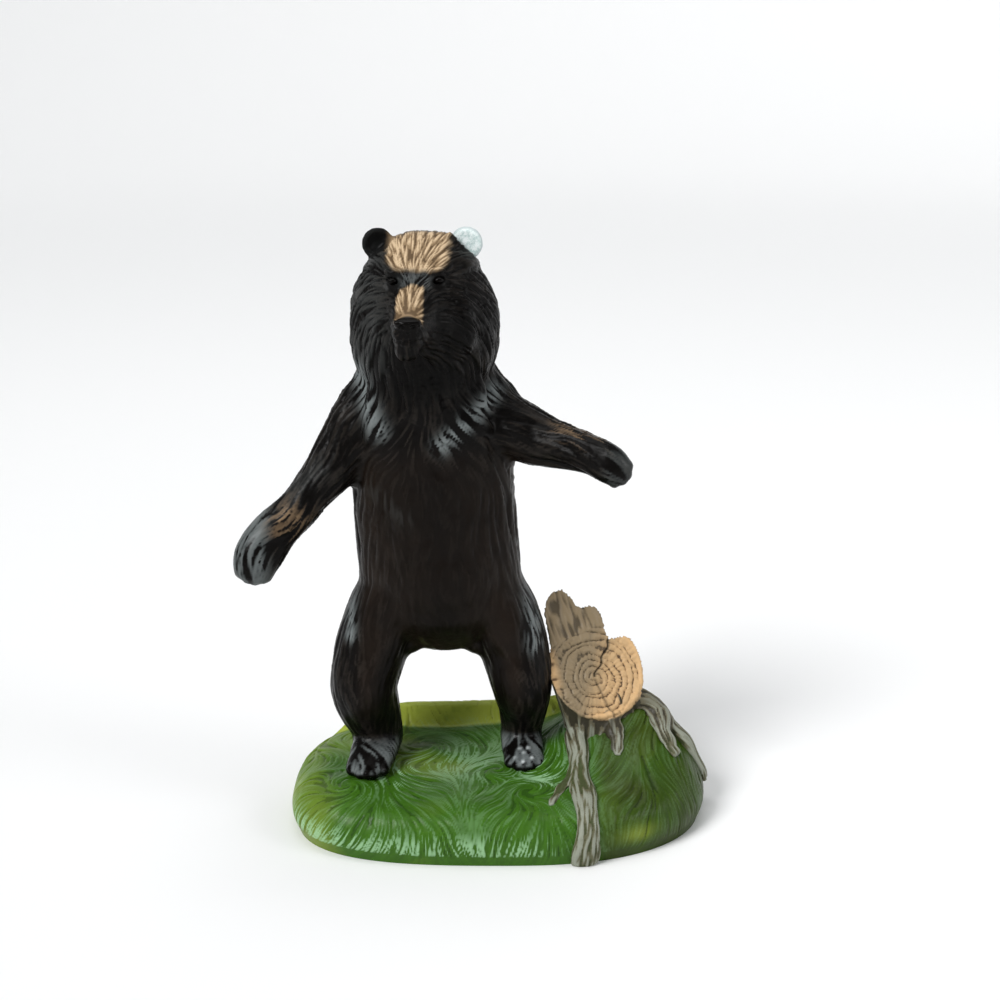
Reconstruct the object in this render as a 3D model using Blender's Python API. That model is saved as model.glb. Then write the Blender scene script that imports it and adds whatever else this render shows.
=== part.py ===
"""A glazed ceramic bear standing on a grassy mound beside a cut tree stump, all cast and fired as one.

Metres, +Z up, origin in the middle of the flat underside. The bear faces -Y.
The bear is laid out on a sculptor's grid of 232 parts to its height, so it can be made taller or
shorter as a whole. The mound, the stump and the roots have real sizes of their own.
"""

import math

import bmesh
import bpy
import numpy as np
from mathutils import Matrix, Vector, noise
from mathutils.bvhtree import BVHTree
from mathutils.kdtree import KDTree

# The bear, from the grass to the top of its ears, and the point between its feet
BEAR_HEIGHT = 0.2320
BEAR_X = -0.025
BEAR_Y = 0.0

# The grassy mound, from its middle to its four sides, and the height of the grass under the feet
MOUND_LEFT = 0.0885
MOUND_RIGHT = 0.0875
MOUND_DEPTH = 0.1085
MOUND_FRONT = MOUND_DEPTH * 0.5115
MOUND_BACK = MOUND_DEPTH - MOUND_FRONT
GRASS_HEIGHT = 0.0220
BACK_RISE = 0.0098
BACK_RISE_START = 0.0330
BACK_RISE_RUN = 0.0100
HILL_RISE = 0.0245
HILL_SHIFT = 0.0108
HILL_REACH = 0.0290
TUFT_SWELL = 0.0012
TUFT_SPACING = 0.0238
# Low rises in the lawn that the grass is combed over: x, y and reach, and how high they are
HUMMOCKS = (
    (-0.0640, -0.0270, 0.0135), (-0.0020, -0.0130, 0.0115), (-0.0330, 0.0120, 0.0130),
    (0.0120, -0.0330, 0.0100),
)
HUMMOCK_RISE = 0.0016
# From the foot over the rim to the middle: shares of the reach and of the grass height
MOUND_PROFILE = (
    (0.985, -0.25), (0.99, 0.0), (1.003, 0.13), (1.015, 0.30), (1.015, 0.46), (1.0, 0.62), (0.97, 0.77),
    (0.93, 0.875), (0.87, 0.945), (0.79, 0.98), (0.70, 1.0), (0.58, 1.0), (0.44, 1.0), (0.30, 1.0),
    (0.15, 1.0), (0.05, 1.0),
)

# The stump: where it stands, how wide it is at the cut and at the ground, and how the cut leans
STUMP_X = 0.0420
STUMP_Y = 0.0085
CUT_HEIGHT = 0.0610
CUT_WIDTH = 0.0445
CUT_LENGTH = 0.0450
CUT_LEAN_DEG = 54.0
CUT_TURN_DEG = 21.0
FOOT_WIDTH = 0.0240
FOOT_DEPTH = 0.0270
FOOT_SHIFT = 0.0030
SPLINTER_TALL = 0.0170
SPLINTER_TALL_AT_DEG = 104.0
SPLINTER_SHORT = 0.0066
SPLINTER_SHORT_AT_DEG = 80.0
NOTCH_DEPTH = 0.0060
NOTCH_AT_DEG = 54.0
RING_SPACING = 0.0044
RING_DEPTH = 0.0007
PITH_ACROSS = -0.0019
PITH_UP = -0.0040
BARK_RIDGE = 0.0008

# The roots, from the stump's foot down to the rim
ROOT_WIDTH = 0.0112
SIDE_ROOT_WIDTH = 0.0080
TWIG_ROOT_WIDTH = 0.0052
ROOT_STEP = 0.0010

# The cast surface: locks of fur and blades of grass
LOCK_WIDTH = 0.0060
LOCK_LENGTH = 0.0200
LOCK_HEIGHT = 0.0008
BLADE_WIDTH = 0.0052
BLADE_LENGTH = 0.0180
BLADE_HEIGHT = 0.0011
FUSE_VOXEL = 0.0011
BODY_TRIANGLES = 5900
FINE_TRIANGLES = 3700

# The sculptor's grid
GRID_PARTS = 232.0
PART = BEAR_HEIGHT / GRID_PARTS

# Stations are x, y and height on the grid, half the width seen from the front, and half the depth
TORSO = (
    (0.6, 11, 53.5, 16, 13), (0.6, 13, 60, 28, 21), (0.3, 13, 68, 34, 25.5), (-0.8, 12, 84, 35, 26.5),
    (-2.3, 10, 108, 34.4, 26), (-3.3, 10, 130, 35, 26.5), (-4.4, 11, 150, 36.4, 27.5),
    (-4.8, 12, 160.5, 37, 25), (-5.2, 12, 169, 31, 22), (-5.5, 11, 178, 25, 20),
)
LEFT_LEG = (
    (-15, 13, 83, 16, 22.5), (-21.2, 12.5, 72, 16.2, 22.5), (-26.5, 11, 61.5, 16, 21.5),
    (-31.2, 6, 48, 15.8, 19.5), (-33.8, 1, 35.5, 14.5, 17.5), (-32.2, 3, 25, 13.4, 15),
    (-29.2, 5, 15, 11.8, 12.5), (-28.6, 5, 6, 11, 11.5),
)
RIGHT_LEG = (
    (17, 14, 82, 14, 22.5), (23.4, 13, 70, 14.8, 22), (27.8, 11.5, 60.5, 15.2, 21.3),
    (31.2, 10, 49, 15.2, 19.8), (34.1, 5, 36, 13.7, 17), (35.1, 8, 24, 11.2, 14),
    (34.4, 10, 13, 9.4, 11.5), (34.2, 11, 5, 9, 10.5),
)
LEFT_ARM = (
    (-21, 11, 150, 14, 16.5), (-32.6, 8, 151, 12.5, 15), (-39.2, 4, 141.4, 11.5, 13.6),
    (-45.6, 0, 131.2, 10.7, 12.4), (-52.4, -4, 123.8, 9.3, 10.5), (-57.9, -8, 117.8, 8.8, 9),
    (-67.8, -14, 109, 9.6, 8.8), (-74.4, -19, 99.8, 10, 8.2), (-76.6, -21.5, 91.4, 7.8, 6.4),
)
RIGHT_ARM = (
    (11, 11, 150, 14, 16.5), (22.6, 8, 151, 13, 15.5), (32.3, 4, 147.6, 12, 14), (39.9, 0, 145, 11.2, 12.5),
    (45.8, -4, 143.8, 10, 10.5), (52.4, -8, 143.4, 9.2, 9), (62.7, -15, 141.8, 7.9, 8.2),
    (69.8, -19, 138.4, 8, 7.6), (74.8, -20.5, 134.4, 6.2, 6),
)
LEFT_FOOT = (
    (-27, 14, 5.5, 8.5, 6.5), (-28.2, 4, 7.6, 10, 9.4), (-29.8, -6, 6, 10.4, 7.6),
    (-31, -13.5, 4.4, 9.6, 5.4), (-31.6, -18.5, 3.2, 7.8, 3.8),
)
RIGHT_FOOT = (
    (33.6, 20, 5.5, 8, 6.5), (34, 11, 7.6, 9, 9.4), (34.8, 1.5, 6, 9.4, 7.6), (35.2, -6, 4.4, 8.8, 5.4),
    (35.4, -11, 3.2, 7, 3.8),
)
HEAD = (
    (-5.4, 5, 224.4, 15.5, 15), (-5.7, 4, 221, 20.1, 21), (-6.3, 3, 215.5, 23.6, 24.8),
    (-6.4, 2.5, 209, 26.8, 27), (-5.8, 2, 202, 29.4, 28), (-5.5, 2.5, 193, 30.2, 29),
    (-5.9, 4, 182, 30, 28), (-6, 5, 173, 27.5, 26), (-5.8, 6, 163, 22, 23),
)
BIB = ((-6, -6, 181, 22, 14), (-5.5, -9, 171, 19, 12), (-4.6, -9.5, 163, 12.5, 9.5))
HUMP = ((-5.5, 20, 186, 17, 13), (-5.3, 23, 170, 20, 13), (-4.5, 22, 150, 19, 12), (-3, 20, 132, 17, 11))
BREAST = (
    ((-17, -8.4, 151), (14, 7.5, 14)), ((8, -8.4, 151), (14, 7.5, 14)), ((-1, -5, 88), (24, 11.2, 24)),
)
THIGH_FOLDS = (((-13.8, 9, 53.0), (6.6, 10, 6.0)), ((15.2, 9, 53.0), (6.6, 10, 6.0)))
TAIL = ((-3, 34, 77, 5, 4), (-3, 40, 71, 4.4, 3.6), (-3, 42, 64, 3, 2.6))

# The muzzle runs forward from inside the skull; its stations have half the width and half the height
MUZZLE = (
    (-6, -8, 203, 18, 17), (-6.8, -20, 201.4, 13.4, 14.2), (-8.6, -31, 199, 9.6, 11.6),
    (-9.9, -40, 197.6, 7.2, 8.3), (-10.2, -44.5, 197.4, 5.6, 5.8),
)
CHEEKS = (
    ((-1.0, -24.0, 198.0), (8.5, 8.5, 10.5)), ((6.5, -18.0, 195.0), (10.0, 8.8, 14.0)),
    ((-3.5, -24.0, 191.5), (7.0, 6.5, 8.0)), ((-19.0, -17.0, 196.0), (7.0, 8.0, 9.0)),
)
NOSE_TIP = (-10.0, -45.4, 200.6)
NOSE_PADS = (
    ((-10.0, -45.2, 201.2), (4.9, 2.7, 1.7)), ((-13.4, -44.9, 201.3), (2.1, 2.4, 1.6)),
    ((-6.6, -44.9, 201.3), (2.1, 2.4, 1.6)), ((-10.0, -45.1, 199.6), (3.4, 2.6, 1.9)),
)
CHIN = (-10.4, -38.6, 189.4)
CHIN_HALF = (5.4, 5.0, 4.6)
EYES = ((-17.0, -22.4, 213.4), (1.2, -23.4, 213.9))
EYE_HALF = 1.55
BROW_HALF = (4.2, 3.0, 1.9)
# Tufts that hang from the ruff over the chest, from one side to the other
TUFTS = tuple((-5.0 + 5.4 * n, -15.2 + 0.42 * n * n, 158.5 + 0.42 * n * n + 1.6 * (n % 2))
              for n in range(-4, 5))
TUFT_HALF = (2.9, 3.4, 6.4)
LEFT_EAR = (-24.2, 3.5, 224.8)
RIGHT_EAR = (11.6, 3.0, 225.0)
EAR_HALF = 6.6
EAR_THICK = 2.7
TOES = 5
TOE_HALF = (2.5, 6.7, 3.25)
FINGERS = 4
FINGER_HALF = (2.3, 4.0, 2.3)
FINGER_SPREAD = 4.4


def on_grid(x, y, z):
    """A place on the sculptor's grid as a point in metres."""
    return Vector((BEAR_X + x * PART, BEAR_Y + y * PART, GRASS_HEIGHT + z * PART))


def smoothly(value, low, high):
    """0 below low, 1 above high, and an easy curve between."""
    share = min(max((value - low) / (high - low), 0.0), 1.0)
    return share * share * (3.0 - 2.0 * share)


def curve_through(stations, steps):
    """Even rows along a smooth curve through the stations."""
    rows = np.array(stations, dtype=float)
    padded = np.vstack([2 * rows[0] - rows[1], rows, 2 * rows[-1] - rows[-2]])
    curve = []
    for index in range(1, len(padded) - 2):
        before, start, end, after = padded[index - 1:index + 3]
        for step in range(steps):
            t = step / steps
            curve.append(0.5 * (2 * start + (end - before) * t
                                + (2 * before - 5 * start + 4 * end - after) * t * t
                                + (3 * start - before - 3 * end + after) * t ** 3))
    curve.append(padded[-2])
    return np.array(curve)


def add_rings(mesh, rings):
    """Skin a row of rings and close both ends with a fan to their middles."""
    loops = [[mesh.verts.new(point) for point in ring] for ring in rings]
    count = len(loops[0])
    for lower, upper in zip(loops, loops[1:]):
        for side in range(count):
            after = (side + 1) % count
            mesh.faces.new((lower[side], lower[after], upper[after], upper[side]))
    for loop, flip in ((loops[0], True), (loops[-1], False)):
        middle = mesh.verts.new(sum((vert.co for vert in loop), Vector()) / count)
        for side in range(count):
            after = (side + 1) % count
            corners = (loop[side], loop[after], middle)
            mesh.faces.new(tuple(reversed(corners)) if flip else corners)


def add_loft(mesh, stations, deep=(0, 1, 0), sides=30, steps=5, dome=0.35, level=False):
    """An oval limb through stations given on the grid, with a rounded end at both ends."""
    rows = curve_through(stations, steps)
    centres = [on_grid(*row[:3]) for row in rows]
    halves = [(row[3] * PART, row[4] * PART) for row in rows]
    rings = []
    last = len(rows) - 1
    for index, centre in enumerate(centres):
        along = (centres[min(index + 1, last)] - centres[max(index - 1, 0)]).normalized()
        if level:
            along = Vector((0, 0, math.copysign(1.0, along.z)))
        deep_way = (Vector(deep) - along * Vector(deep).dot(along)).normalized()
        wide_way = along.cross(deep_way)
        wide, depth = halves[index]
        levels = [(1.0, 0.0)]
        if index == 0:
            levels = [(math.cos(a), -math.sin(a)) for a in (1.35, 1.05, 0.7, 0.35)] + levels
        if index == last:
            levels = levels + [(math.cos(a), math.sin(a)) for a in (0.35, 0.7, 1.05, 1.35)]
        for scale, shift in levels:
            middle = centre + along * shift * min(wide, depth) * dome
            rings.append([middle + wide_way * wide * scale * math.cos(turn)
                          + deep_way * depth * scale * math.sin(turn)
                          for turn in (math.tau * side / sides for side in range(sides))])
    add_rings(mesh, rings)


def ball_rings(sides=24, levels=14):
    """The rings of a ball of radius one, from its bottom to its top."""
    rings = []
    for level in range(1, levels):
        rise = math.pi * level / levels
        wide, high = math.sin(rise), -math.cos(rise)
        rings.append([Vector((wide * math.cos(turn), wide * math.sin(turn), high))
                      for turn in (math.tau * side / sides for side in range(sides))])
    return rings


def add_ball(mesh, place, halves):
    """An egg shape on the grid, with its three half sizes."""
    middle = on_grid(*place)
    size = Vector(halves) * PART
    add_rings(mesh, [[middle + point * size for point in ring] for ring in ball_rings()])


def add_ear(mesh, place, turn_deg, cup):
    """A round ear, a thick disc that stands on the skull, with a hollow of the given depth in front."""
    turn = Matrix.Rotation(math.radians(turn_deg), 3, "Z")
    rings = []
    for ring in ball_rings(28, 20):
        rings.append([])
        for x, y, z in ring:
            if y < 0:
                y += cup * (1.0 - smoothly(math.hypot(x, z), 0.30, 0.85))
            local = Vector((x * EAR_HALF, y * EAR_THICK, z * EAR_HALF)) * PART
            rings[-1].append(on_grid(*place) + turn @ local)
    add_rings(mesh, rings)


def add_toes(mesh, stations):
    """A row of toes round the front end of a foot."""
    x, y, _, wide, _ = stations[-1]
    for toe in range(TOES):
        share = toe / (TOES - 1) * 2.0 - 1.0
        place = (x + share * wide * 0.92, y + 0.4 + 4.4 * share * share, 3.3 - 0.4 * share * share)
        add_ball(mesh, place, TOE_HALF)


def add_fingers(mesh, stations):
    """The blunt fingers at the end of an arm."""
    before = Vector(stations[-2][:3])
    tip = Vector(stations[-1][:3])
    along = (tip - before).normalized()
    across = along.cross(Vector((0, 1, 0))).normalized()
    for finger in range(FINGERS):
        share = finger / (FINGERS - 1) * 2.0 - 1.0
        place = tip + along * (0.7 - 2.0 * share * share) + across * share * FINGER_SPREAD
        add_ball(mesh, place, FINGER_HALF)


def add_bear(mesh):
    """Body, limbs and head, overlapping so that they fuse into one."""
    for stations in (TORSO, HEAD, BIB, HUMP):
        add_loft(mesh, stations, level=True)
    for stations in (LEFT_LEG, RIGHT_LEG, LEFT_ARM, RIGHT_ARM, TAIL):
        add_loft(mesh, stations)
    add_loft(mesh, MUZZLE, deep=(0, 0, 1))
    add_ball(mesh, CHIN, CHIN_HALF)
    for place in TUFTS:
        add_ball(mesh, place, TUFT_HALF)
    for stations in (LEFT_FOOT, RIGHT_FOOT):
        add_loft(mesh, stations, deep=(0, 0, 1), dome=0.7)
    for place, halves in BREAST + THIGH_FOLDS + CHEEKS:
        add_ball(mesh, place, halves)


def add_details(mesh):
    """Toes, fingers, nose, eyes, brows and ears."""
    for foot, arm in ((LEFT_FOOT, LEFT_ARM), (RIGHT_FOOT, RIGHT_ARM)):
        add_toes(mesh, foot)
        add_fingers(mesh, arm)
    for place, halves in NOSE_PADS:
        add_ball(mesh, place, halves)
    for side, (x, y, z) in zip((-1, 1), EYES):
        add_ball(mesh, (x, y, z), (EYE_HALF, EYE_HALF, EYE_HALF))
        add_ball(mesh, (x - side * 1.0, y + 4.0, z + 3.0), BROW_HALF)
    add_ear(mesh, LEFT_EAR, 12.0, 1.35)
    add_ear(mesh, RIGHT_EAR, -10.0, 0.30)


def rim_distance(turn):
    """How far the mound reaches from its middle in one direction, squarer at its left end."""
    across, along = math.cos(turn), math.sin(turn)
    wide = MOUND_RIGHT if across > 0 else MOUND_LEFT
    deep = MOUND_BACK if along > 0 else MOUND_FRONT
    power = 2.65 - 0.42 * across
    return (abs(across / wide) ** power + abs(along / deep) ** power) ** (-1.0 / power)


def grass_level(x, y):
    """The height of the lawn before it rolls over the rim."""
    back = BACK_RISE * smoothly(y, BACK_RISE_START, BACK_RISE_START + BACK_RISE_RUN)
    away = math.hypot(x - STUMP_X - HILL_SHIFT, y - STUMP_Y - HILL_SHIFT / 2) / HILL_REACH
    tufts = noise.noise(Vector((x, y, 0.0)) / TUFT_SPACING)
    tufts += 0.5 * noise.noise(Vector((y, x, TUFT_SPACING)) * 2.26 / TUFT_SPACING)
    rises = sum(math.exp(-((x - place_x) ** 2 + (y - place_y) ** 2) / (0.7 * reach) ** 2)
                for place_x, place_y, reach in HUMMOCKS)
    hill = HILL_RISE * math.exp(-away * away)
    return GRASS_HEIGHT + back + hill + TUFT_SWELL * tufts + HUMMOCK_RISE * rises


def add_mound(mesh):
    """The mound as rings from its flat foot, over the rim to the middle of the lawn."""
    sides = 120
    rings = []
    for reach, height in curve_through(MOUND_PROFILE, 2):
        ring = []
        for side in range(sides):
            turn = math.tau * side / sides
            away = rim_distance(turn) * reach
            x, y = away * math.cos(turn), away * math.sin(turn)
            ring.append(Vector((x, y, grass_level(x, y) * height)))
        rings.append(ring)
    add_rings(mesh, rings)


def cut_axes():
    """The middle of the stump's cut, the way across it, the way up it and the way out of it."""
    lean, turn = math.radians(CUT_LEAN_DEG), math.radians(CUT_TURN_DEG)
    out = Vector((math.sin(lean) * math.sin(turn), -math.sin(lean) * math.cos(turn), math.cos(lean)))
    across = Vector((math.cos(turn), math.sin(turn), 0.0))
    return Vector((STUMP_X, STUMP_Y, CUT_HEIGHT)), across, out.cross(across), out


def cut_reach(turn):
    """How far the cut face reaches from its middle, with a tall and a short torn splinter at its top."""
    across, up = math.cos(turn) / (CUT_WIDTH / 2), math.sin(turn) / (CUT_LENGTH / 2)
    reach = 1.0 / math.hypot(across, up)
    degrees = math.degrees(turn) % 360.0
    from_tall = degrees - SPLINTER_TALL_AT_DEG
    tall = math.exp(-abs(from_tall / (27.0 if from_tall > 0.0 else 10.5)) ** 2.4)
    short = math.exp(-((degrees - SPLINTER_SHORT_AT_DEG) / 12.0) ** 4)
    notch = math.exp(-((degrees - NOTCH_AT_DEG) / 13.0) ** 2)
    return reach + SPLINTER_TALL * tall + SPLINTER_SHORT * short - NOTCH_DEPTH * notch


def add_stump(mesh):
    """The trunk, from a round foot sunk in the mound up to its slanting cut."""
    middle, across, up = cut_axes()[:3]
    sides = 96
    levels = 14
    rings = []
    foot_z = GRASS_HEIGHT * 0.4
    for level in range(levels + 1):
        share = level / levels
        ring = []
        for side in range(sides):
            turn = math.tau * side / sides
            top = middle + (across * math.cos(turn) + up * math.sin(turn)) * cut_reach(turn)
            flare = 1.0 + 0.30 * (1.0 - share) ** 4
            bottom = Vector((STUMP_X + FOOT_SHIFT + FOOT_WIDTH / 2 * flare * math.cos(turn),
                             STUMP_Y + FOOT_DEPTH / 2 * flare * math.sin(turn), foot_z))
            ridge = BARK_RIDGE * math.sin(turn * 11.0 + 1.7 * math.sin(turn * 3.0))
            ridge *= min(1.0, 4.0 * (1.0 - share))
            point = bottom.lerp(top, share ** 1.5)
            rise = foot_z + (top.z - foot_z) * share
            outward = Vector((math.cos(turn), math.sin(turn), 0.0))
            ring.append(Vector((point.x, point.y, rise)) + outward * ridge)
        rings.append(ring)
    add_rings(mesh, rings)


def root_routes():
    """Each root: its start, its end, how high up the mound it ends, its sideways bend and its widths."""
    x, y = STUMP_X, STUMP_Y
    step = ROOT_STEP
    side = x + 16.5 * step
    front_end = (x - 7.2 * step, -0.99 * MOUND_FRONT)
    right_end = (0.95 * MOUND_RIGHT, y - 4.0 * step)
    wide, twig = SIDE_ROOT_WIDTH, TWIG_ROOT_WIDTH
    back_end = (x + 14.0 * step, 0.92 * MOUND_BACK)
    return (
        ((x - 8.5 * step, y - 6.0 * step), front_end, -0.2, 0.6 * step, ROOT_WIDTH * 0.75, ROOT_WIDTH),
        ((x - 9.5 * step, y - 24.0 * step), (x - 21.0 * step, y - 52.0 * step), 0.9, 0.0,
         twig, twig * 0.45),
        ((x + 8.0 * step, y - 3.0 * step), (x + 8.8 * step, y - 21.0 * step), 1.2, 0.0,
         twig * 1.9, twig * 0.4),
        ((side - 6.0 * step, y + 4.0 * step), right_end, 0.5, step, wide * 1.6, wide),
        ((side + 7.0 * step, y + step), (side + 14.0 * step, y - 15.0 * step), 1.0, 0.0,
         wide * 1.4, wide * 0.7),
        ((x + 6.0 * step, y + 12.0 * step), back_end, 0.8, 1.5 * step, wide, wide * 0.6),
    )


def add_roots(mesh, mound):
    """Roots that hug the mound from the trunk outward."""
    steps = 14
    sides = 14
    for number, (start, end, end_height, bend, first_width, last_width) in enumerate(root_routes()):
        first, last = Vector((*start, GRASS_HEIGHT * 1.5)), Vector((*end, GRASS_HEIGHT * end_height))
        sideways = (last - first).cross(Vector((0, 0, 1))).normalized()
        spots = []
        for step in range(steps + 1):
            share = step / steps
            wander = bend * math.sin(share * math.tau + number)
            wander += 0.04 * first_width * math.sin(share * 9.0 + 2.0 * number) * (bend > 0.0)
            over, down = math.sin(share * math.pi / 2), 1.0 - math.cos(share * math.pi / 2)
            guess = first.lerp(last, over) + sideways * wander
            guess.z = first.z + (last.z - first.z) * down
            spots.append(mound.find_nearest(guess)[:2])
        rings = []
        for step, (spot, normal) in enumerate(spots):
            share = step / steps
            along = (spots[min(step + 1, steps)][0] - spots[max(step - 1, 0)][0]).normalized()
            beside = along.cross(normal).normalized()
            wide = (first_width + (last_width - first_width) * share) / 2
            wide *= 1.0 + 0.14 * math.sin(share * 17.0 + 1.3 * number)
            high = wide * 0.5
            middle = spot + normal * high * 0.25
            rings.append([middle + beside * wide * math.cos(turn) + normal * high * math.sin(turn)
                          for turn in (math.tau * side / sides for side in range(sides))])
        add_rings(mesh, rings)


def object_from(mesh, name):
    """A scene object made from a bmesh, with its faces turned out."""
    bmesh.ops.recalc_face_normals(mesh, faces=mesh.faces)
    data = bpy.data.meshes.new(name)
    mesh.to_mesh(data)
    mesh.free()
    thing = bpy.data.objects.new(name, data)
    bpy.context.scene.collection.objects.link(thing)
    return thing


def join(things):
    """One object from several, under the figurine's name."""
    whole = bmesh.new()
    for thing in things:
        whole.from_mesh(thing.data)
        bpy.data.objects.remove(thing, do_unlink=True)
    data = bpy.data.meshes.new("bear_figurine")
    whole.to_mesh(data)
    whole.free()
    joined = bpy.data.objects.new("bear_figurine", data)
    bpy.context.scene.collection.objects.link(joined)
    return joined


def settle(thing):
    """Replace the object's mesh by the result of its modifiers."""
    shown = thing.evaluated_get(bpy.context.evaluated_depsgraph_get())
    settled = bpy.data.meshes.new_from_object(shown)
    thing.modifiers.clear()
    thing.data = settled


def fuse(thing, voxel, rounds):
    """Melt overlapping shapes into one skin and soften their joins, as slip and glaze do."""
    remesh = thing.modifiers.new("Fuse", "REMESH")
    remesh.mode = "VOXEL"
    remesh.voxel_size = voxel
    soften = thing.modifiers.new("Soften", "SMOOTH")
    soften.factor = 0.5
    soften.iterations = rounds
    settle(thing)


def guide_lines():
    """Points along the middle of the body and limbs, and the way the fur runs at each."""
    places, ways = [], []
    for stations, sense in ((TORSO, -1), (LEFT_LEG, 1), (RIGHT_LEG, 1), (LEFT_ARM, 1), (RIGHT_ARM, 1)):
        line = np.array([on_grid(*row[:3]) for row in curve_through(stations, 3)])
        run = np.gradient(line, axis=0) * sense
        places.append(line)
        ways.append(run / np.linalg.norm(run, axis=1)[:, None])
    return np.vstack(places), np.vstack(ways)


def fur_way(point, guides):
    """Down the body and out along the limbs, but away from the nose on the head."""
    places, ways = guides
    near = 1.0 / (np.sum((places - np.array(point)) ** 2, axis=1) + (4 * PART) ** 2) ** 2
    way = Vector(near @ ways / near.sum()).normalized()
    on_head = smoothly(point.z, on_grid(0, 0, 158).z, on_grid(0, 0, 196).z)
    away = (point - on_grid(*NOSE_TIP)).normalized() + Vector((0, 0, -0.35))
    turn = noise.noise(point * 60.0) * 0.9
    return Matrix.Rotation(turn, 3, Vector((0, 1, 0))) @ way.lerp(away, on_head)


def grass_way(point, _):
    """Down over the rim, and in leaning tufts on the lawn."""
    out = Vector((point.x / MOUND_RIGHT ** 2, point.y / MOUND_FRONT ** 2, 0.0)).normalized()
    turn = noise.noise(point * 45.0) * (2.6 * smoothly(point.z, GRASS_HEIGHT * 0.6, GRASS_HEIGHT) + 0.5)
    return Matrix.Rotation(turn, 3, Vector((0, 0, 1))) @ out + Vector((0, 0, -0.6))


def stroke_relief(thing, chosen, way_of, guides, width, length, seed):
    """Rounded strokes laid along a flow over the chosen vertices, as shares of their full height."""
    mesh = thing.data
    tree = BVHTree.FromObject(thing, bpy.context.evaluated_depsgraph_get())
    near = KDTree(len(mesh.vertices))
    for index in chosen:
        near.insert(mesh.vertices[index].co, int(index))
    near.balance()
    relief = np.zeros(len(mesh.vertices))
    random = np.random.default_rng(seed)
    area = len(chosen) * FUSE_VOXEL ** 2
    steps = max(3, round(length / (width * 0.35)))
    for start in random.choice(chosen, int(1.3 * area / (width * length))):
        point = mesh.vertices[int(start)].co.copy()
        for step in range(steps + 1):
            point, normal = tree.find_nearest(point)[:2]
            way = way_of(point, guides)
            way = (way - normal * way.dot(normal)).normalized()
            share = step / steps
            half = width / 2 * (1.0 - 0.55 * share)
            crest = math.sin(math.pi * (0.12 + 0.80 * share)) ** 0.7
            for place, index, _ in near.find_range(point, half):
                offset = place - point
                beside = (offset - way * offset.dot(way) - normal * offset.dot(normal)).length / half
                relief[index] = max(relief[index], crest * math.sqrt(max(0.0, 1.0 - beside * beside)))
            point = point + way * (length / steps)
    return relief


def ring_relief(point, normal):
    """Year rings, a crack and torn grain on the cut, as a height in metres."""
    middle, across, up, out = cut_axes()
    offset = point - middle
    facing = smoothly(normal.dot(out), 0.6, 0.95)
    if abs(offset.dot(out)) > 0.003 or facing == 0.0:
        return 0.0
    a, b = offset.dot(across) - PITH_ACROSS, offset.dot(up) - PITH_UP
    away = math.hypot(a, b)
    wobble = 0.9 * noise.noise(Vector((a, b, 0.0)) * 120.0)
    rings = math.cos(math.tau * away / RING_SPACING + wobble) * smoothly(away, 0.001, 0.004)
    grain = math.cos(math.tau * a / RING_SPACING + wobble)
    torn = smoothly(b, CUT_LENGTH * 0.40, CUT_LENGTH * 0.52)
    crack = math.exp(-((a - b * 0.71) / 0.0009) ** 2) * smoothly(b, 0.0, 0.002) * (1.0 - torn)
    return RING_DEPTH * facing * (rings * (1.0 - torn) + grain * torn - 1.6 * crack)


def carve(thing, guides, trees):
    """Locks of fur on the bear, blades on the grass and rings on the stump."""
    mesh = thing.data
    count = len(mesh.vertices)
    kinds = []
    for vert in mesh.vertices:
        away = [tree.find_nearest(vert.co)[3] for tree in trees]
        kinds.append(away.index(min(away)))
    kinds = np.array(kinds)
    bear, grass, stump = (np.flatnonzero(kinds == kind) for kind in (0, 1, 2))
    nose, brow = on_grid(*NOSE_TIP), on_grid(EYES[0][0] / 2 + EYES[1][0] / 2, EYES[0][1], EYES[0][2])
    fur = stroke_relief(thing, bear, fur_way, guides, LOCK_WIDTH, LOCK_LENGTH, 7)
    fur = (fur - 0.6) * LOCK_HEIGHT
    for index in bear:
        point = mesh.vertices[int(index)].co
        face = min((point - nose).length / 0.018, (point - brow).length / 0.016)
        fur[index] *= smoothly(face, 0.8, 1.2) * smoothly(point.z, on_grid(0, 0, 9).z, on_grid(0, 0, 15).z)
        fur[index] *= 1.0 - smoothly(point.z, on_grid(0, 0, 222).z, on_grid(0, 0, 225).z)
    blades = stroke_relief(thing, grass, grass_way, guides, BLADE_WIDTH, BLADE_LENGTH, 11)
    blades = (blades - 0.6) * BLADE_HEIGHT
    for index in grass:
        point = mesh.vertices[int(index)].co
        blades[index] *= smoothly(point.z, GRASS_HEIGHT * 0.05, GRASS_HEIGHT * 0.2)
        blades[index] *= smoothly(trees[3].find_nearest(point)[3], 0.0, BLADE_WIDTH / 2)
    height = np.zeros(count)
    height[bear], height[grass] = fur[bear], blades[grass]
    for index in stump:
        vert = mesh.vertices[int(index)]
        height[index] += ring_relief(vert.co, vert.normal)
    places = np.empty(count * 3)
    normals = np.empty(count * 3)
    mesh.vertices.foreach_get("co", places)
    mesh.vertices.foreach_get("normal", normals)
    places = places.reshape(-1, 3) + normals.reshape(-1, 3) * height[:, None]
    mesh.vertices.foreach_set("co", places.ravel())
    mesh.update()


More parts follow.
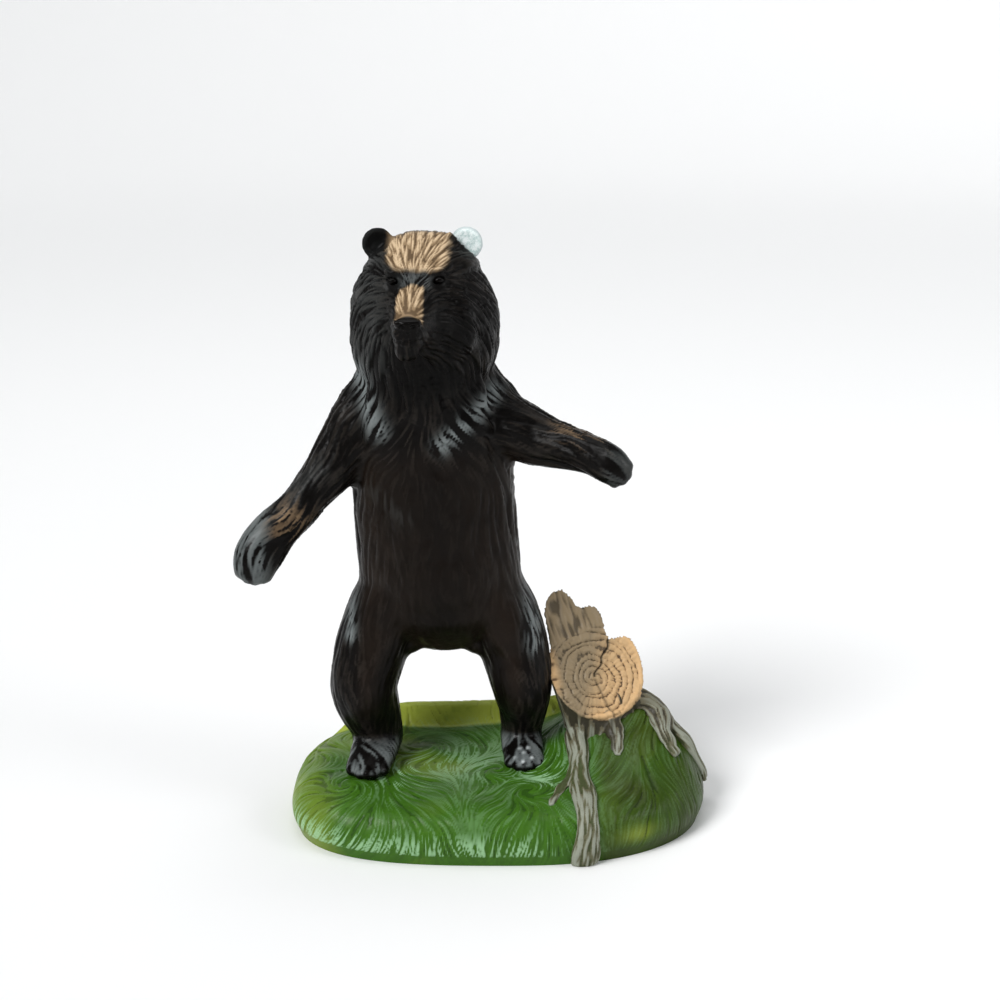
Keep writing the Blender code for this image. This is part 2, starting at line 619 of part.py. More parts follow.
def build_form():
    """The whole figurine, fused and carved."""
    mound, roots, stump, bear = (bmesh.new() for _ in range(4))
    add_mound(mound)
    bmesh.ops.recalc_face_normals(mound, faces=mound.faces)
    trees = [None, BVHTree.FromBMesh(mound)]
    add_roots(roots, trees[1])
    add_stump(stump)
    add_bear(bear)
    trees[0] = BVHTree.FromBMesh(bear)
    trees += [BVHTree.FromBMesh(stump), BVHTree.FromBMesh(roots)]
    parts = [object_from(mesh, name) for mesh, name in
             ((mound, "mound"), (roots, "roots"), (stump, "stump"), (bear, "bear"))]
    thing = join(parts)
    fuse(thing, FUSE_VOXEL, 9)
    details = bmesh.new()
    add_details(details)
    thing = join([thing, object_from(details, "details")])
    fuse(thing, FUSE_VOXEL * 0.85, 2)
    carve(thing, guide_lines(), trees)
    return thing


def is_fine(point):
    """True where small forms need more triangles: the head, the toes and fingers, and the stump's cut."""
    middle, _, _, out = cut_axes()
    on_cut = abs((point - middle).dot(out)) < 0.002 and (point - middle).length < CUT_LENGTH
    toes = any((point - on_grid(*foot[-1][:3])).length < 15 * PART for foot in (LEFT_FOOT, RIGHT_FOOT))
    return on_cut or toes or point.z > on_grid(0, 0, 186).z


def thin_out(thing):
    """Keep as few triangles as the shape needs, in two passes that each leave the other area alone."""
    fine = [is_fine(vert.co) for vert in thing.data.vertices]
    for name, wanted in (("Plain", False), ("Fine", True)):
        group = thing.vertex_groups.new(name=name)
        group.add([index for index, flag in enumerate(fine) if flag == wanted], 1.0, "REPLACE")
    thing.data.calc_loop_triangles()
    whole = len(thing.data.loop_triangles)
    small = sum(all(fine[index] for index in triangle.vertices) for triangle in thing.data.loop_triangles)
    passes = (("Plain", (BODY_TRIANGLES + small) / whole),
              ("Fine", (BODY_TRIANGLES + FINE_TRIANGLES) / (BODY_TRIANGLES + small)))
    for name, ratio in passes:
        thin = thing.modifiers.new("Thin out " + name, "DECIMATE")
        thin.vertex_group = name
        thin.ratio = ratio
        thin.use_collapse_triangulate = True
    settle(thing)


def cut_open(thing):
    """Cut the underside off at height zero and leave it open."""
    mesh = bmesh.new()
    mesh.from_mesh(thing.data)
    everything = mesh.verts[:] + mesh.edges[:] + mesh.faces[:]
    bmesh.ops.bisect_plane(mesh, geom=everything, dist=0.00005, plane_co=(0, 0, 0), plane_no=(0, 0, 1),
                           clear_inner=True)
    mesh.to_mesh(thing.data)
    mesh.free()


def close_underside(thing):
    """Close the underside with one flat face at height zero."""
    mesh = bmesh.new()
    mesh.from_mesh(thing.data)
    rim = [edge for edge in mesh.edges if edge.is_boundary]
    for vert in {vert for edge in rim for vert in edge.verts}:
        vert.co.z = 0.0
    bmesh.ops.holes_fill(mesh, edges=rim)
    bmesh.ops.triangulate(mesh, faces=mesh.faces[:])
    bmesh.ops.recalc_face_normals(mesh, faces=mesh.faces)
    mesh.to_mesh(thing.data)
    mesh.free()


def glaze(name, colour, roughness):
    """A glazed ceramic colour."""
    material = bpy.data.materials.new(name)
    material.use_nodes = True
    shader = material.node_tree.nodes["Principled BSDF"]
    shader.inputs["Base Color"].default_value = (*colour, 1.0)
    shader.inputs["Roughness"].default_value = roughness
    shader.inputs["Metallic"].default_value = 0.0
    material.diffuse_color = (*colour, 1.0)
    return material


def main():
    for thing in list(bpy.data.objects):
        bpy.data.objects.remove(thing, do_unlink=True)
    figurine = build_form()
    cut_open(figurine)
    thin_out(figurine)
    close_underside(figurine)
    figurine.data.materials.clear()
    figurine.data.materials.append(glaze("Black-brown glaze", (0.020, 0.016, 0.013), 0.30))
    figurine.data.shade_smooth()


main()
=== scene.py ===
"""Looks for a glazed ceramic bear on a grassy mound beside a cut tree stump, laid out as an add-on."""

import math

import bmesh
import bpy
import numpy as np
from bpy.props import FloatProperty, FloatVectorProperty, PointerProperty
from mathutils import Matrix, Vector, noise
from mathutils.bvhtree import BVHTree
from mathutils.kdtree import KDTree


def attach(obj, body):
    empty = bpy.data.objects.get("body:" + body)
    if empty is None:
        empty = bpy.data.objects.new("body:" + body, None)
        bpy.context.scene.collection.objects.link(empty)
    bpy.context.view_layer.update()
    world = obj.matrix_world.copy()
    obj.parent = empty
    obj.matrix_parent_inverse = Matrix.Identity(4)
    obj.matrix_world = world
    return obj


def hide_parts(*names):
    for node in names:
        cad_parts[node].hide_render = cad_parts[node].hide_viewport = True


bl_info = {
    "name": "Ceramic bear figurine",
    "version": (1, 0, 0),
    "blender": (4, 5, 0),
    "location": "3D View > Sidebar > Figurine",
    "description": "Builds a glazed bear, its grassy mound, the stump and its roots on the packed part",
    "category": "Object",
}

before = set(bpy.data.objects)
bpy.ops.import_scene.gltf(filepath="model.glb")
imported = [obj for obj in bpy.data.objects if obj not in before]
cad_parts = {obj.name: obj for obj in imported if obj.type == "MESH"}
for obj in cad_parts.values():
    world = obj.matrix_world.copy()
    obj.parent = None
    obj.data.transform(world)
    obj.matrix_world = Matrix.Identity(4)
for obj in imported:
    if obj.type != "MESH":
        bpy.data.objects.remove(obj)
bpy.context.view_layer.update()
NODE = "bear_figurine"

# The sculptor's grid: 232 parts from the grass to the top of the ears.
# Stations are x, y and height, half the width seen from the front, and half the depth.
# Left and right are as seen from the front.
GRID_PARTS = 232.0
TORSO = (
    (0.6, 11, 53.5, 16, 13), (0.6, 13, 60, 28, 21), (0.3, 13, 68, 34, 25.5), (-0.8, 12, 84, 35, 26.5),
    (-2.3, 10, 108, 34.4, 26), (-3.3, 10, 130, 35, 26.5), (-4.4, 11, 150, 36.4, 27.5),
    (-4.8, 12, 160.5, 37, 25), (-5.2, 12, 169, 31, 22), (-5.5, 11, 178, 25, 20),
)
LEFT_LEG = (
    (-15, 13, 83, 16, 22.5), (-21.2, 12.5, 72, 16.2, 22.5), (-26.5, 11, 61.5, 16, 21.5),
    (-31.2, 6, 48, 15.8, 19.5), (-33.8, 1, 35.5, 14.5, 17.5), (-32.2, 3, 25, 13.4, 15),
    (-29.2, 5, 15, 11.8, 12.5), (-28.6, 5, 6, 11, 11.5),
)
RIGHT_LEG = (
    (17, 14, 82, 14, 22.5), (23.4, 13, 70, 14.8, 22), (27.8, 11.5, 60.5, 15.2, 21.3),
    (31.2, 10, 49, 15.2, 19.8), (34.1, 5, 36, 13.7, 17), (35.1, 8, 24, 11.2, 14),
    (34.4, 10, 13, 9.4, 11.5), (34.2, 11, 5, 9, 10.5),
)
LEFT_ARM = (
    (-21, 11, 150, 14, 16.5), (-32.6, 8, 151, 12.5, 15), (-39.2, 4, 141.4, 11.5, 13.6),
    (-45.6, 0, 131.2, 10.7, 12.4), (-52.4, -4, 123.8, 9.3, 10.5), (-57.9, -8, 117.8, 8.8, 9),
    (-67.8, -14, 109, 9.6, 8.8), (-74.4, -19, 99.8, 10, 8.2), (-76.6, -21.5, 91.4, 7.8, 6.4),
)
RIGHT_ARM = (
    (11, 11, 150, 14, 16.5), (22.6, 8, 151, 13, 15.5), (32.3, 4, 147.6, 12, 14), (39.9, 0, 145, 11.2, 12.5),
    (45.8, -4, 143.8, 10, 10.5), (52.4, -8, 143.4, 9.2, 9), (62.7, -15, 141.8, 7.9, 8.2),
    (69.8, -19, 138.4, 8, 7.6), (74.8, -20.5, 134.4, 6.2, 6),
)
LEFT_FOOT = (
    (-27, 14, 5.5, 8.5, 6.5), (-28.2, 4, 7.6, 10, 9.4), (-29.8, -6, 6, 10.4, 7.6),
    (-31, -13.5, 4.4, 9.6, 5.4), (-31.6, -18.5, 3.2, 7.8, 3.8),
)
RIGHT_FOOT = (
    (33.6, 20, 5.5, 8, 6.5), (34, 11, 7.6, 9, 9.4), (34.8, 1.5, 6, 9.4, 7.6), (35.2, -6, 4.4, 8.8, 5.4),
    (35.4, -11, 3.2, 7, 3.8),
)
HEAD = (
    (-5.4, 5, 224.4, 15.5, 15), (-5.7, 4, 221, 20.1, 21), (-6.3, 3, 215.5, 23.6, 24.8),
    (-6.4, 2.5, 209, 26.8, 27), (-5.8, 2, 202, 29.4, 28), (-5.5, 2.5, 193, 30.2, 29),
    (-5.9, 4, 182, 30, 28), (-6, 5, 173, 27.5, 26), (-5.8, 6, 163, 22, 23),
)
BIB = ((-6, -6, 181, 22, 14), (-5.5, -9, 171, 19, 12), (-4.6, -9.5, 163, 12.5, 9.5))
HUMP = ((-5.5, 20, 186, 17, 13), (-5.3, 23, 170, 20, 13), (-4.5, 22, 150, 19, 12), (-3, 20, 132, 17, 11))
BREAST = (
    ((-17, -8.4, 151), (14, 7.5, 14)), ((8, -8.4, 151), (14, 7.5, 14)), ((-1, -5, 88), (24, 11.2, 24)),
)
THIGH_FOLDS = (((-13.8, 9, 53.0), (6.6, 10, 6.0)), ((15.2, 9, 53.0), (6.6, 10, 6.0)))
TAIL = ((-3, 34, 77, 5, 4), (-3, 40, 71, 4.4, 3.6), (-3, 42, 64, 3, 2.6))
MUZZLE = (
    (-6, -8, 203, 18, 17), (-6.8, -20, 201.4, 13.4, 14.2), (-8.6, -31, 199, 9.6, 11.6),
    (-9.9, -40, 197.6, 7.2, 8.3), (-10.2, -44.5, 197.4, 5.6, 5.8),
)
CHEEKS = (
    ((-1.0, -24.0, 198.0), (8.5, 8.5, 10.5)), ((6.5, -18.0, 195.0), (10.0, 8.8, 14.0)),
    ((-3.5, -24.0, 191.5), (7.0, 6.5, 8.0)), ((-19.0, -17.0, 196.0), (7.0, 8.0, 9.0)),
)
MUZZLE_MIDDLE = (-9.0, -36.0, 199.0)
NOSE_TIP = (-10.0, -45.4, 200.6)
NOSE_PADS = (
    ((-10.0, -45.2, 201.2), (4.9, 2.7, 1.7)), ((-13.4, -44.9, 201.3), (2.1, 2.4, 1.6)),
    ((-6.6, -44.9, 201.3), (2.1, 2.4, 1.6)), ((-10.0, -45.1, 199.6), (3.4, 2.6, 1.9)),
)
CHIN = (-10.4, -38.6, 189.4)
CHIN_HALF = (5.4, 5.0, 4.6)
# Tufts that hang from the ruff over the chest, from one side to the other
TUFTS = tuple((-5.0 + 5.4 * n, -15.2 + 0.42 * n * n, 158.5 + 0.42 * n * n + 1.6 * (n % 2))
              for n in range(-4, 5))
TUFT_HALF = (2.9, 3.4, 6.4)
EYES = ((-17.0, -22.4, 213.4), (1.2, -23.4, 213.9))
EYE_HALF = 1.55
BROW_HALF = (4.2, 3.0, 1.9)
LEFT_EAR = (-24.2, 3.5, 224.8)
RIGHT_EAR = (11.6, 3.0, 225.0)
EAR_HALF = 6.6
EAR_THICK = 2.7
# Painted highlights: blue-grey streaks on the glaze that stand in for its sheen, from x and height, to x and
# height, their reach and their strength
PAINTED_SHEEN_STREAKS = (
    ((-33.8, 174.0), (-24.4, 151.4), 4.0, 0.80), ((1.7, 146.0), (22.1, 164.6), 3.6, 0.80),
    ((-38.5, 76.0), (-38.5, 60.0), 2.4, 0.8), ((38.5, 77.0), (40.5, 55.0), 3.4, 0.8),
    ((-31.0, 128.0), (-14.0, 114.0), 3.4, 0.05), ((-64.0, 120.0), (-49.0, 134.0), 4.0, 0.08),
    ((-13.0, 214.0), (-3.5, 214.5), 2.6, 0.30),
)
# Painted glints: white touches on the toes of the right foot that stand in for highlights on their gloss
TOE_GLINTS = (
    (31.0, -12.0, 6.8), (33.4, -8.5, 9.4), (35.2, -10.5, 8.4), (37.2, -8.0, 9.4), (38.8, -12.0, 6.4),
    (34.8, -14.5, 5.6),
)
# Places of the small tufts that frame the bare ear: the first one, and the step to the next
EAR_TUFTS = 7
EAR_TUFT_FIRST = (4.9, -1.2, 227.9)
EAR_TUFT_STEP = (1.6, 0.15, -1.75)
TOES = 5
TOE_HALF = (2.9 * 0.86, 2.9 * 2.3, 2.9 * 1.12)
# How far the toes reach over the foot's half width, how far the outer ones stand back, and their height
TOE_SPREAD = 0.92
TOE_SWEEP = 4.4
TOE_HEIGHT = 3.3
FINGERS = 4
FINGER_HALF = (2.3, 4.0, 2.3)
FINGER_SPREAD = 4.4
# Height on the grid where the head's mesh ends and the body's begins
NECK_PARTS = 160.0
NECK_OVERLAP = 0.003

# Turns at which the rounded end of a limb has its rings, in radians
DOME_TURNS = (0.35, 0.7, 1.05, 1.35)
# Spacing of the meshes that melt the overlapping shapes together, in metres
BEAR_VOXEL = 0.0011
DETAIL_VOXEL = 0.00095
GRASS_VOXEL = 0.00064
WOOD_VOXEL = 0.00052
# Where each piece's random draws start
FUR_DRAWS = 5
GRASS_DRAWS = 9
WOOD_DRAWS = 3
# Strokes: the range of their widths and lengths, how far apart their stamps lie as a share of the
# width, and the relief that they have to pass before they stand out of the surface
STROKE_WIDTHS = (0.75, 1.2)
STROKE_LENGTHS = (0.7, 1.25)
STAMP_STEP = 0.4
STROKE_LEVEL = 0.6
# Columns of a stamp that follow its point, its way and its normal
HALF_WIDTH, CREST, TONE = 9, 10, 11

# Small touches of colour that the panel leaves alone
# Painted glint: the white of the highlights on the toes
GLINT_WHITE = (0.58, 0.62, 0.62)
EAR_RIM = (0.50, 0.57, 0.57)
EYE_BLACKS = ((0.0010, 0.0008, 0.0008), (0.0030, 0.0022, 0.0016))
MOSS = (0.085, 0.13, 0.03)

# From the mound's foot over the rim to its middle: shares of the reach and of the grass height
MOUND_PROFILE = (
    (0.985, -0.25), (0.99, 0.0), (1.003, 0.13), (1.015, 0.30), (1.015, 0.46), (1.0, 0.62), (0.97, 0.77),
    (0.93, 0.875), (0.87, 0.945), (0.79, 0.98), (0.70, 1.0), (0.58, 1.0), (0.44, 1.0), (0.30, 1.0),
    (0.15, 1.0), (0.05, 1.0),
)
# Low rises in the lawn that the grass is combed over: x, y and radius in metres
HUMMOCKS = (
    (-0.0640, -0.0270, 0.0135), (-0.0020, -0.0130, 0.0115), (-0.0330, 0.0120, 0.0130),
    (0.0120, -0.0330, 0.0100),
)
HUMMOCK_RISE = 0.0016

# Strokes of the bark's grain, in metres
GRAIN_WIDTH = 0.0019
GRAIN_LENGTH = 0.012
GRAIN_HEIGHT = 0.0007
# The middle of the year rings on the cut, across it and up it from the cut's own middle
PITH = (-0.0019, -0.0040)
# Directions of the splinters and the notch round the cut, in degrees from its right end
TALL_AT = 104.0
SHORT_AT = 80.0
NOTCH_AT = 54.0
# Knots in the torn wood: across, up and reach
KNOTS = ((-0.0125, 0.0300, 0.0021), (-0.0035, 0.0215, 0.0017))


def size(name, description, default, low=0.0, high=1.0, digits=4):
    """A length that a user may change."""
    return FloatProperty(name=name, description=description, default=default, min=low, max=high,
                         precision=digits, unit="LENGTH")


def tint(name, description, default):
    """A colour that a user may change."""
    return FloatVectorProperty(name=name, description=description, default=default, min=0.0, max=1.0,
                               size=3, subtype="COLOR")


class BearSettings(bpy.types.PropertyGroup):
    """Sizes and colours of the bear."""
    height: size("Height", "From the grass to the top of the ears", 0.2320)
    stand_x: size("Stands at X", "Where the bear stands across the mound", -0.0250, -1.0)
    stand_y: size("Stands at Y", "Where the bear stands along the mound's depth", 0.0, -1.0)
    lock_width: size("Lock width", "Width of a big lock of fur", 0.0060)
    lock_length: size("Lock length", "Length of a big lock of fur", 0.0200)
    lock_height: size("Lock height", "How far a big lock stands up", 0.0008)
    strand_width: size("Strand width", "Width of a fine strand", 0.0023)
    strand_length: size("Strand length", "Length of a fine strand", 0.0120)
    strand_height: size("Strand height", "How far a fine strand stands up", 0.00055)
    coat: tint("Coat", "Black-brown glaze in the hollows", (0.0034, 0.0028, 0.0025))
    # Painted highlight: a paler brown-black on the strand crests stands in for the glints of light on them.
    coat_crest_highlight: tint("Coat crests", "Where the glaze runs thin on the strands", (0.0220, 0.0182, 0.0152))
    # Painted shade: the blackest glaze stands in for the shade under the chin, on the head's right side, on
    # the belly and between the legs.
    coat_painted_shade: tint("Coat in shade", "Blackest glaze, under the chin and on the belly",
                    (0.0014, 0.0012, 0.0010))
    # Painted highlight: the blue-grey stands in for the sheen of light on the shoulders, paws, thighs, tops
    # of the feet and the head's left side.
    painted_sheen: tint("Frost", "Blue-grey glaze on the shoulders, paws and thighs", (0.215, 0.240, 0.240))
    tan: tint("Tan", "Muzzle and forehead", (0.27, 0.185, 0.105))
    tan_pale: tint("Tan crests", "Pale crests of the muzzle and forehead", (0.61, 0.455, 0.290))
    tan_dark: tint("Tan hollows", "Hollows of the muzzle and forehead", (0.115, 0.074, 0.040))
    rub: tint("Dry brushing", "Gold-brown brushed over the forearms", (0.23, 0.15, 0.085))
    bare_ear: tint("Bare ear", "Pale worn ear", (0.84, 0.91, 0.90))


class MoundSettings(bpy.types.PropertyGroup):
    """Sizes and colours of the grassy mound."""
    left: size("Left reach", "From the middle to the left end", 0.0885)
    right: size("Right reach", "From the middle to the right end", 0.0875)
    front: size("Front reach", "From the middle to the front", 0.0555)
    back: size("Back reach", "From the middle to the back", 0.0530)
    grass: size("Grass height", "Height of the lawn under the feet", 0.0220)
    back_rise: size("Back rise", "How much the lawn rises at the back", 0.0098)
    back_start: size("Back rise start", "Where the lawn starts to rise", 0.0330)
    hill_rise: size("Hill rise", "Height of the hill round the stump", 0.0245)
    hill_shift: size("Hill shift", "How far the hill's top lies past the stump", 0.0108)
    hill_reach: size("Hill reach", "How far the hill spreads", 0.0290)
    blade_width: size("Blade width", "Width of a blade of grass", 0.0017)
    blade_length: size("Blade length", "Length of a blade of grass", 0.0200)
    blade_height: size("Blade height", "How far a blade stands up", 0.00065)
    green: tint("Green", "The lawn", (0.046, 0.138, 0.009))
    green_dark: tint("Green hollows", "Between the blades", (0.024, 0.075, 0.006))
    # Partly painted light: the olive is the lawn's own colour on the back strip and the left end, laid pale
    # enough to brighten the back strip where the bear's shadow falls on it.
    olive: tint("Olive", "The back strip and the left end", (0.340, 0.400, 0.050))
    mint: tint("Mint", "Pale crests of the blades", (0.33, 0.56, 0.31))
    # Painted shade: brown-green that stands in for the shade right of the stump, beside the trunk and in the
    # crease at the back of the lawn.
    shade: tint("Shade", "Brown-green at the lower right", (0.032, 0.052, 0.002))


class StumpSettings(bpy.types.PropertyGroup):
    """Sizes and colours of the stump and its roots."""
    place_x: size("Place X", "Where the middle of the cut lies across the mound", 0.0420, -1.0)
    place_y: size("Place Y", "Where the middle of the cut lies in depth", 0.0085, -1.0)
    cut_height: size("Cut height", "Height of the middle of the cut", 0.0610)
    cut_width: size("Cut width", "Width of the cut", 0.0445)
    cut_length: size("Cut length", "Length of the cut up its slope", 0.0450)
    lean: FloatProperty(name="Lean", description="Lean of the cut from level", default=math.radians(54.0),
                        subtype="ANGLE")
    turn: FloatProperty(name="Turn", description="Turn of the cut to the right", default=math.radians(21.0),
                        subtype="ANGLE")
    foot_width: size("Foot width", "Width of the trunk at the ground", 0.0240)
    foot_depth: size("Foot depth", "Depth of the trunk at the ground", 0.0270)
    foot_shift: size("Foot shift", "Shift of the trunk's foot to the right", 0.0030, -1.0)
    splinter_tall: size("Tall splinter", "Height of the tall torn splinter", 0.0170)
    splinter_short: size("Short splinter", "Height of the short torn splinter", 0.0066)
    notch: size("Notch", "Depth of the notch beside the splinters", 0.0060)
    ring_spacing: size("Ring spacing", "From one year ring to the next", 0.0030)
    ring_depth: size("Ring depth", "Depth of the year rings", 0.00055)
    root_width: size("Root width", "Width of the front root", 0.0112)
    side_root: size("Side root width", "Width of the roots at the right", 0.0080)
    twig_root: size("Twig root width", "Width of the thin roots", 0.0052)
    cut: tint("Cut wood", "Golden tan of the cut", (0.63, 0.405, 0.200))
    cut_dark: tint("Ring grooves", "Dark grooves of the cut", (0.120, 0.070, 0.036))
    aged: tint("Aged wood", "Grey-brown of the torn wood", (0.245, 0.185, 0.110))
    bark: tint("Bark", "Grey-brown bark", (0.118, 0.105, 0.066))
    bark_dark: tint("Bark hollows", "Dark hollows of the bark", (0.040, 0.035, 0.022))
    bark_pale: tint("Bark crests", "Whitish crests of the roots", (0.27, 0.285, 0.230))


class StageSettings(bpy.types.PropertyGroup):
    """Camera, lights and floor."""
    distance: size("Camera distance", "Level distance from camera to figurine", 0.66574, 0.1, 10.0, 5)
    camera_height: size("Camera height", "Height of the camera", 0.33631, 0.0, 10.0, 5)
    aim_height: size("Aim height", "Height that the camera looks at", 0.14029, 0.0, 10.0, 5)
    lens: FloatProperty(name="Lens", description="Focal length in millimetres", default=59.76)
    floor: tint("Floor", "Plain pale floor", (0.90, 0.90, 0.90))


def ease(value, low, high):
    """0 below low, 1 above high, and an easy curve between, for numbers and arrays."""
    share = np.clip((value - low) / (high - low), 0.0, 1.0)
    return share * share * (3.0 - 2.0 * share)


def fade(value, low, high):
    """1 below low, 0 above high, and an easy curve between."""
    return 1.0 - ease(value, low, high)


def glow(*axes):
    """1 at a middle and less all round it; each axis gives its values, their middle and their reach."""
    return np.exp(-sum(((values - middle) / reach) ** 2 for values, middle, reach in axes))


def turns(sides):
    """Even turns round a circle, in radians."""
    return [math.tau * side / sides for side in range(sides)]


def away_from(rows, place):
    """How far each row lies from a place."""
    return np.linalg.norm(rows - np.array(place), axis=1)


class Plan:
    """The sizes from the panel, the sculptor's grid and the stump's cut."""

    def __init__(self):
        scene = bpy.context.scene
        self.bear, self.mound, self.stump = scene.figurine_bear, scene.figurine_mound, scene.figurine_stump
        self.part = self.bear.height / GRID_PARTS
        self.origin = Vector((self.bear.stand_x, self.bear.stand_y, self.mound.grass))
        lean, turn = self.stump.lean, self.stump.turn
        self.cut_middle = Vector((self.stump.place_x, self.stump.place_y, self.stump.cut_height))
        self.cut_across = Vector((math.cos(turn), math.sin(turn), 0.0))
        self.cut_out = Vector((math.sin(lean) * math.sin(turn), -math.sin(lean) * math.cos(turn),
                               math.cos(lean)))
        self.cut_up = self.cut_out.cross(self.cut_across)

    def at(self, x, y, z):
        """A place on the sculptor's grid as a point in metres."""
        return self.origin + Vector((x, y, z)) * self.part

    def grid(self, points):
        """Points in metres as rows on the sculptor's grid."""
        return (points - np.array(self.origin)) / self.part


def curve_through(stations, steps):
    """Even rows along a smooth curve through the stations."""
    rows = np.array(stations, dtype=float)
    padded = np.vstack([2 * rows[0] - rows[1], rows, 2 * rows[-1] - rows[-2]])
    curve = []
    for index in range(1, len(padded) - 2):
        before, start, end, after = padded[index - 1:index + 3]
        for step in range(steps):
            t = step / steps
            curve.append(0.5 * (2 * start + (end - before) * t
                                + (2 * before - 5 * start + 4 * end - after) * t * t
                                + (3 * start - before - 3 * end + after) * t ** 3))
    curve.append(padded[-2])
    return np.array(curve)


def add_rings(mesh, rings):
    """Skin a row of rings and close both ends with a fan to their middles."""
    loops = [[mesh.verts.new(point) for point in ring] for ring in rings]
    count = len(loops[0])
    for lower, upper in zip(loops, loops[1:]):
        for side in range(count):
            after = (side + 1) % count
            mesh.faces.new((lower[side], lower[after], upper[after], upper[side]))
    for loop, flip in ((loops[0], True), (loops[-1], False)):
        middle = mesh.verts.new(sum((vert.co for vert in loop), Vector()) / count)
        for side in range(count):
            after = (side + 1) % count
            corners = (loop[side], loop[after], middle)
            mesh.faces.new(tuple(reversed(corners)) if flip else corners)


def add_loft(mesh, plan, stations, deep=(0, 1, 0), sides=40, steps=6, dome=0.35, level=False):
    """An oval limb through stations given on the grid, with a rounded end at both ends."""
    rows = curve_through(stations, steps)
    centres = [plan.at(*row[:3]) for row in rows]
    halves = [(row[3] * plan.part, row[4] * plan.part) for row in rows]
    rings = []
    last = len(rows) - 1
    for index, centre in enumerate(centres):
        along = (centres[min(index + 1, last)] - centres[max(index - 1, 0)]).normalized()
        if level:
            along = Vector((0, 0, math.copysign(1.0, along.z)))
        deep_way = (Vector(deep) - along * Vector(deep).dot(along)).normalized()
        wide_way = along.cross(deep_way)
        wide, depth = halves[index]
        levels = [(1.0, 0.0)]
        if index == 0:
            levels = [(math.cos(a), -math.sin(a)) for a in reversed(DOME_TURNS)] + levels
        if index == last:
            levels = levels + [(math.cos(a), math.sin(a)) for a in DOME_TURNS]
        for scale, shift in levels:
            middle = centre + along * shift * min(wide, depth) * dome
            rings.append([middle + wide_way * wide * scale * math.cos(turn)
                          + deep_way * depth * scale * math.sin(turn)
                          for turn in turns(sides)])
    add_rings(mesh, rings)


def ball_rings(sides=24, levels=14):
    """The rings of a ball of radius one, from its bottom to its top."""
    rings = []
    for level in range(1, levels):
        rise = math.pi * level / levels
        wide, high = math.sin(rise), -math.cos(rise)
        rings.append([Vector((wide * math.cos(turn), wide * math.sin(turn), high))
                      for turn in turns(sides)])
    return rings


def add_ball(mesh, plan, place, halves):
    """An egg shape on the grid, with its three half sizes."""
    middle = plan.at(*place)
    reach = Vector(halves) * plan.part
    add_rings(mesh, [[middle + point * reach for point in ring] for ring in ball_rings()])


def add_ear(mesh, plan, place, turn_deg, cup):
    """A round ear, a thick disc that stands on the skull, with a hollow of the given depth in front."""
    turn = Matrix.Rotation(math.radians(turn_deg), 3, "Z")
    rings = []
    for ring in ball_rings(40, 26):
        rings.append([])
        for x, y, z in ring:
            if y < 0:
                y += cup * (1.0 - float(ease(math.hypot(x, z), 0.30, 0.85)))
            local = Vector((x * EAR_HALF, y * EAR_THICK, z * EAR_HALF)) * plan.part
            rings[-1].append(plan.at(*place) + turn @ local)
    add_rings(mesh, rings)


def object_from(mesh, name):
    """A scene object made from a bmesh, with its faces turned out."""
    bmesh.ops.recalc_face_normals(mesh, faces=mesh.faces)
    data = bpy.data.meshes.new(name)
    mesh.to_mesh(data)
    mesh.free()
    thing = bpy.data.objects.new(name, data)
    bpy.context.scene.collection.objects.link(thing)
    return thing


def only(thing):
    """Make one object the selected and active one."""
    bpy.ops.object.select_all(action="DESELECT")
    thing.select_set(True)
    bpy.context.view_layer.objects.active = thing


def join(things, name):
    """Join several objects into the first."""
    only(things[0])
    for thing in things:
        thing.select_set(True)
    bpy.ops.object.join()
    things[0].name = things[0].data.name = name
    return things[0]


def fuse(thing, voxel, rounds):
    """Melt overlapping shapes into one skin and soften their joins, as slip and glaze do."""
    only(thing)
    remesh = thing.modifiers.new("Fuse", "REMESH")
    remesh.mode = "VOXEL"
    remesh.voxel_size = voxel
    bpy.ops.object.modifier_apply(modifier="Fuse")
    if rounds:
        soften = thing.modifiers.new("Soften", "SMOOTH")
        soften.factor = 0.5
        soften.iterations = rounds
        bpy.ops.object.modifier_apply(modifier="Soften")


def refine(thing):
    """Halve the mesh's spacing along its own smooth surface."""
    only(thing)
    finer = thing.modifiers.new("Finer", "SUBSURF")
    finer.levels = 1
    finer.render_levels = 1
    bpy.ops.object.modifier_apply(modifier="Finer")


def keep_side(thing, place, normal, fill=False):
    """Cut the object with a plane and keep the side that the normal points to."""
    mesh = bmesh.new()
    mesh.from_mesh(thing.data)
    everything = mesh.verts[:] + mesh.edges[:] + mesh.faces[:]
    cut = bmesh.ops.bisect_plane(mesh, geom=everything, dist=0.00002, plane_co=place, plane_no=normal,
                                 clear_inner=True)
    if fill:
        rim = [item for item in cut["geom_cut"] if isinstance(item, bmesh.types.BMEdge)]
        bmesh.ops.holes_fill(mesh, edges=rim)
    mesh.to_mesh(thing.data)
    mesh.free()


def places_of(thing, kind="co"):
    """The places or normals of an object's vertices, as rows."""
    rows = np.empty(len(thing.data.vertices) * 3)
    thing.data.vertices.foreach_get(kind, rows)
    return rows.reshape(-1, 3)


def move_out(thing, heights):
    """Move every vertex along its normal by its height."""
    places = places_of(thing) + places_of(thing, "normal") * heights[:, None]
    thing.data.vertices.foreach_set("co", places.ravel())
    thing.data.update()


def paint(thing, **layers):
    """Keep one number a vertex under each name for the material."""
    for name, values in layers.items():
        layer = thing.data.attributes.new(name, "FLOAT", "POINT")
        layer.data.foreach_set("value", np.ascontiguousarray(values, dtype=np.float32))


def swell(points, scale, seed=0.0):
    """Smooth lumps between about -1 and 1 at each point."""
    shift = Vector((seed, seed * 0.7, seed * 1.3))
    return np.array([noise.noise(Vector(point) * scale + shift) for point in points])


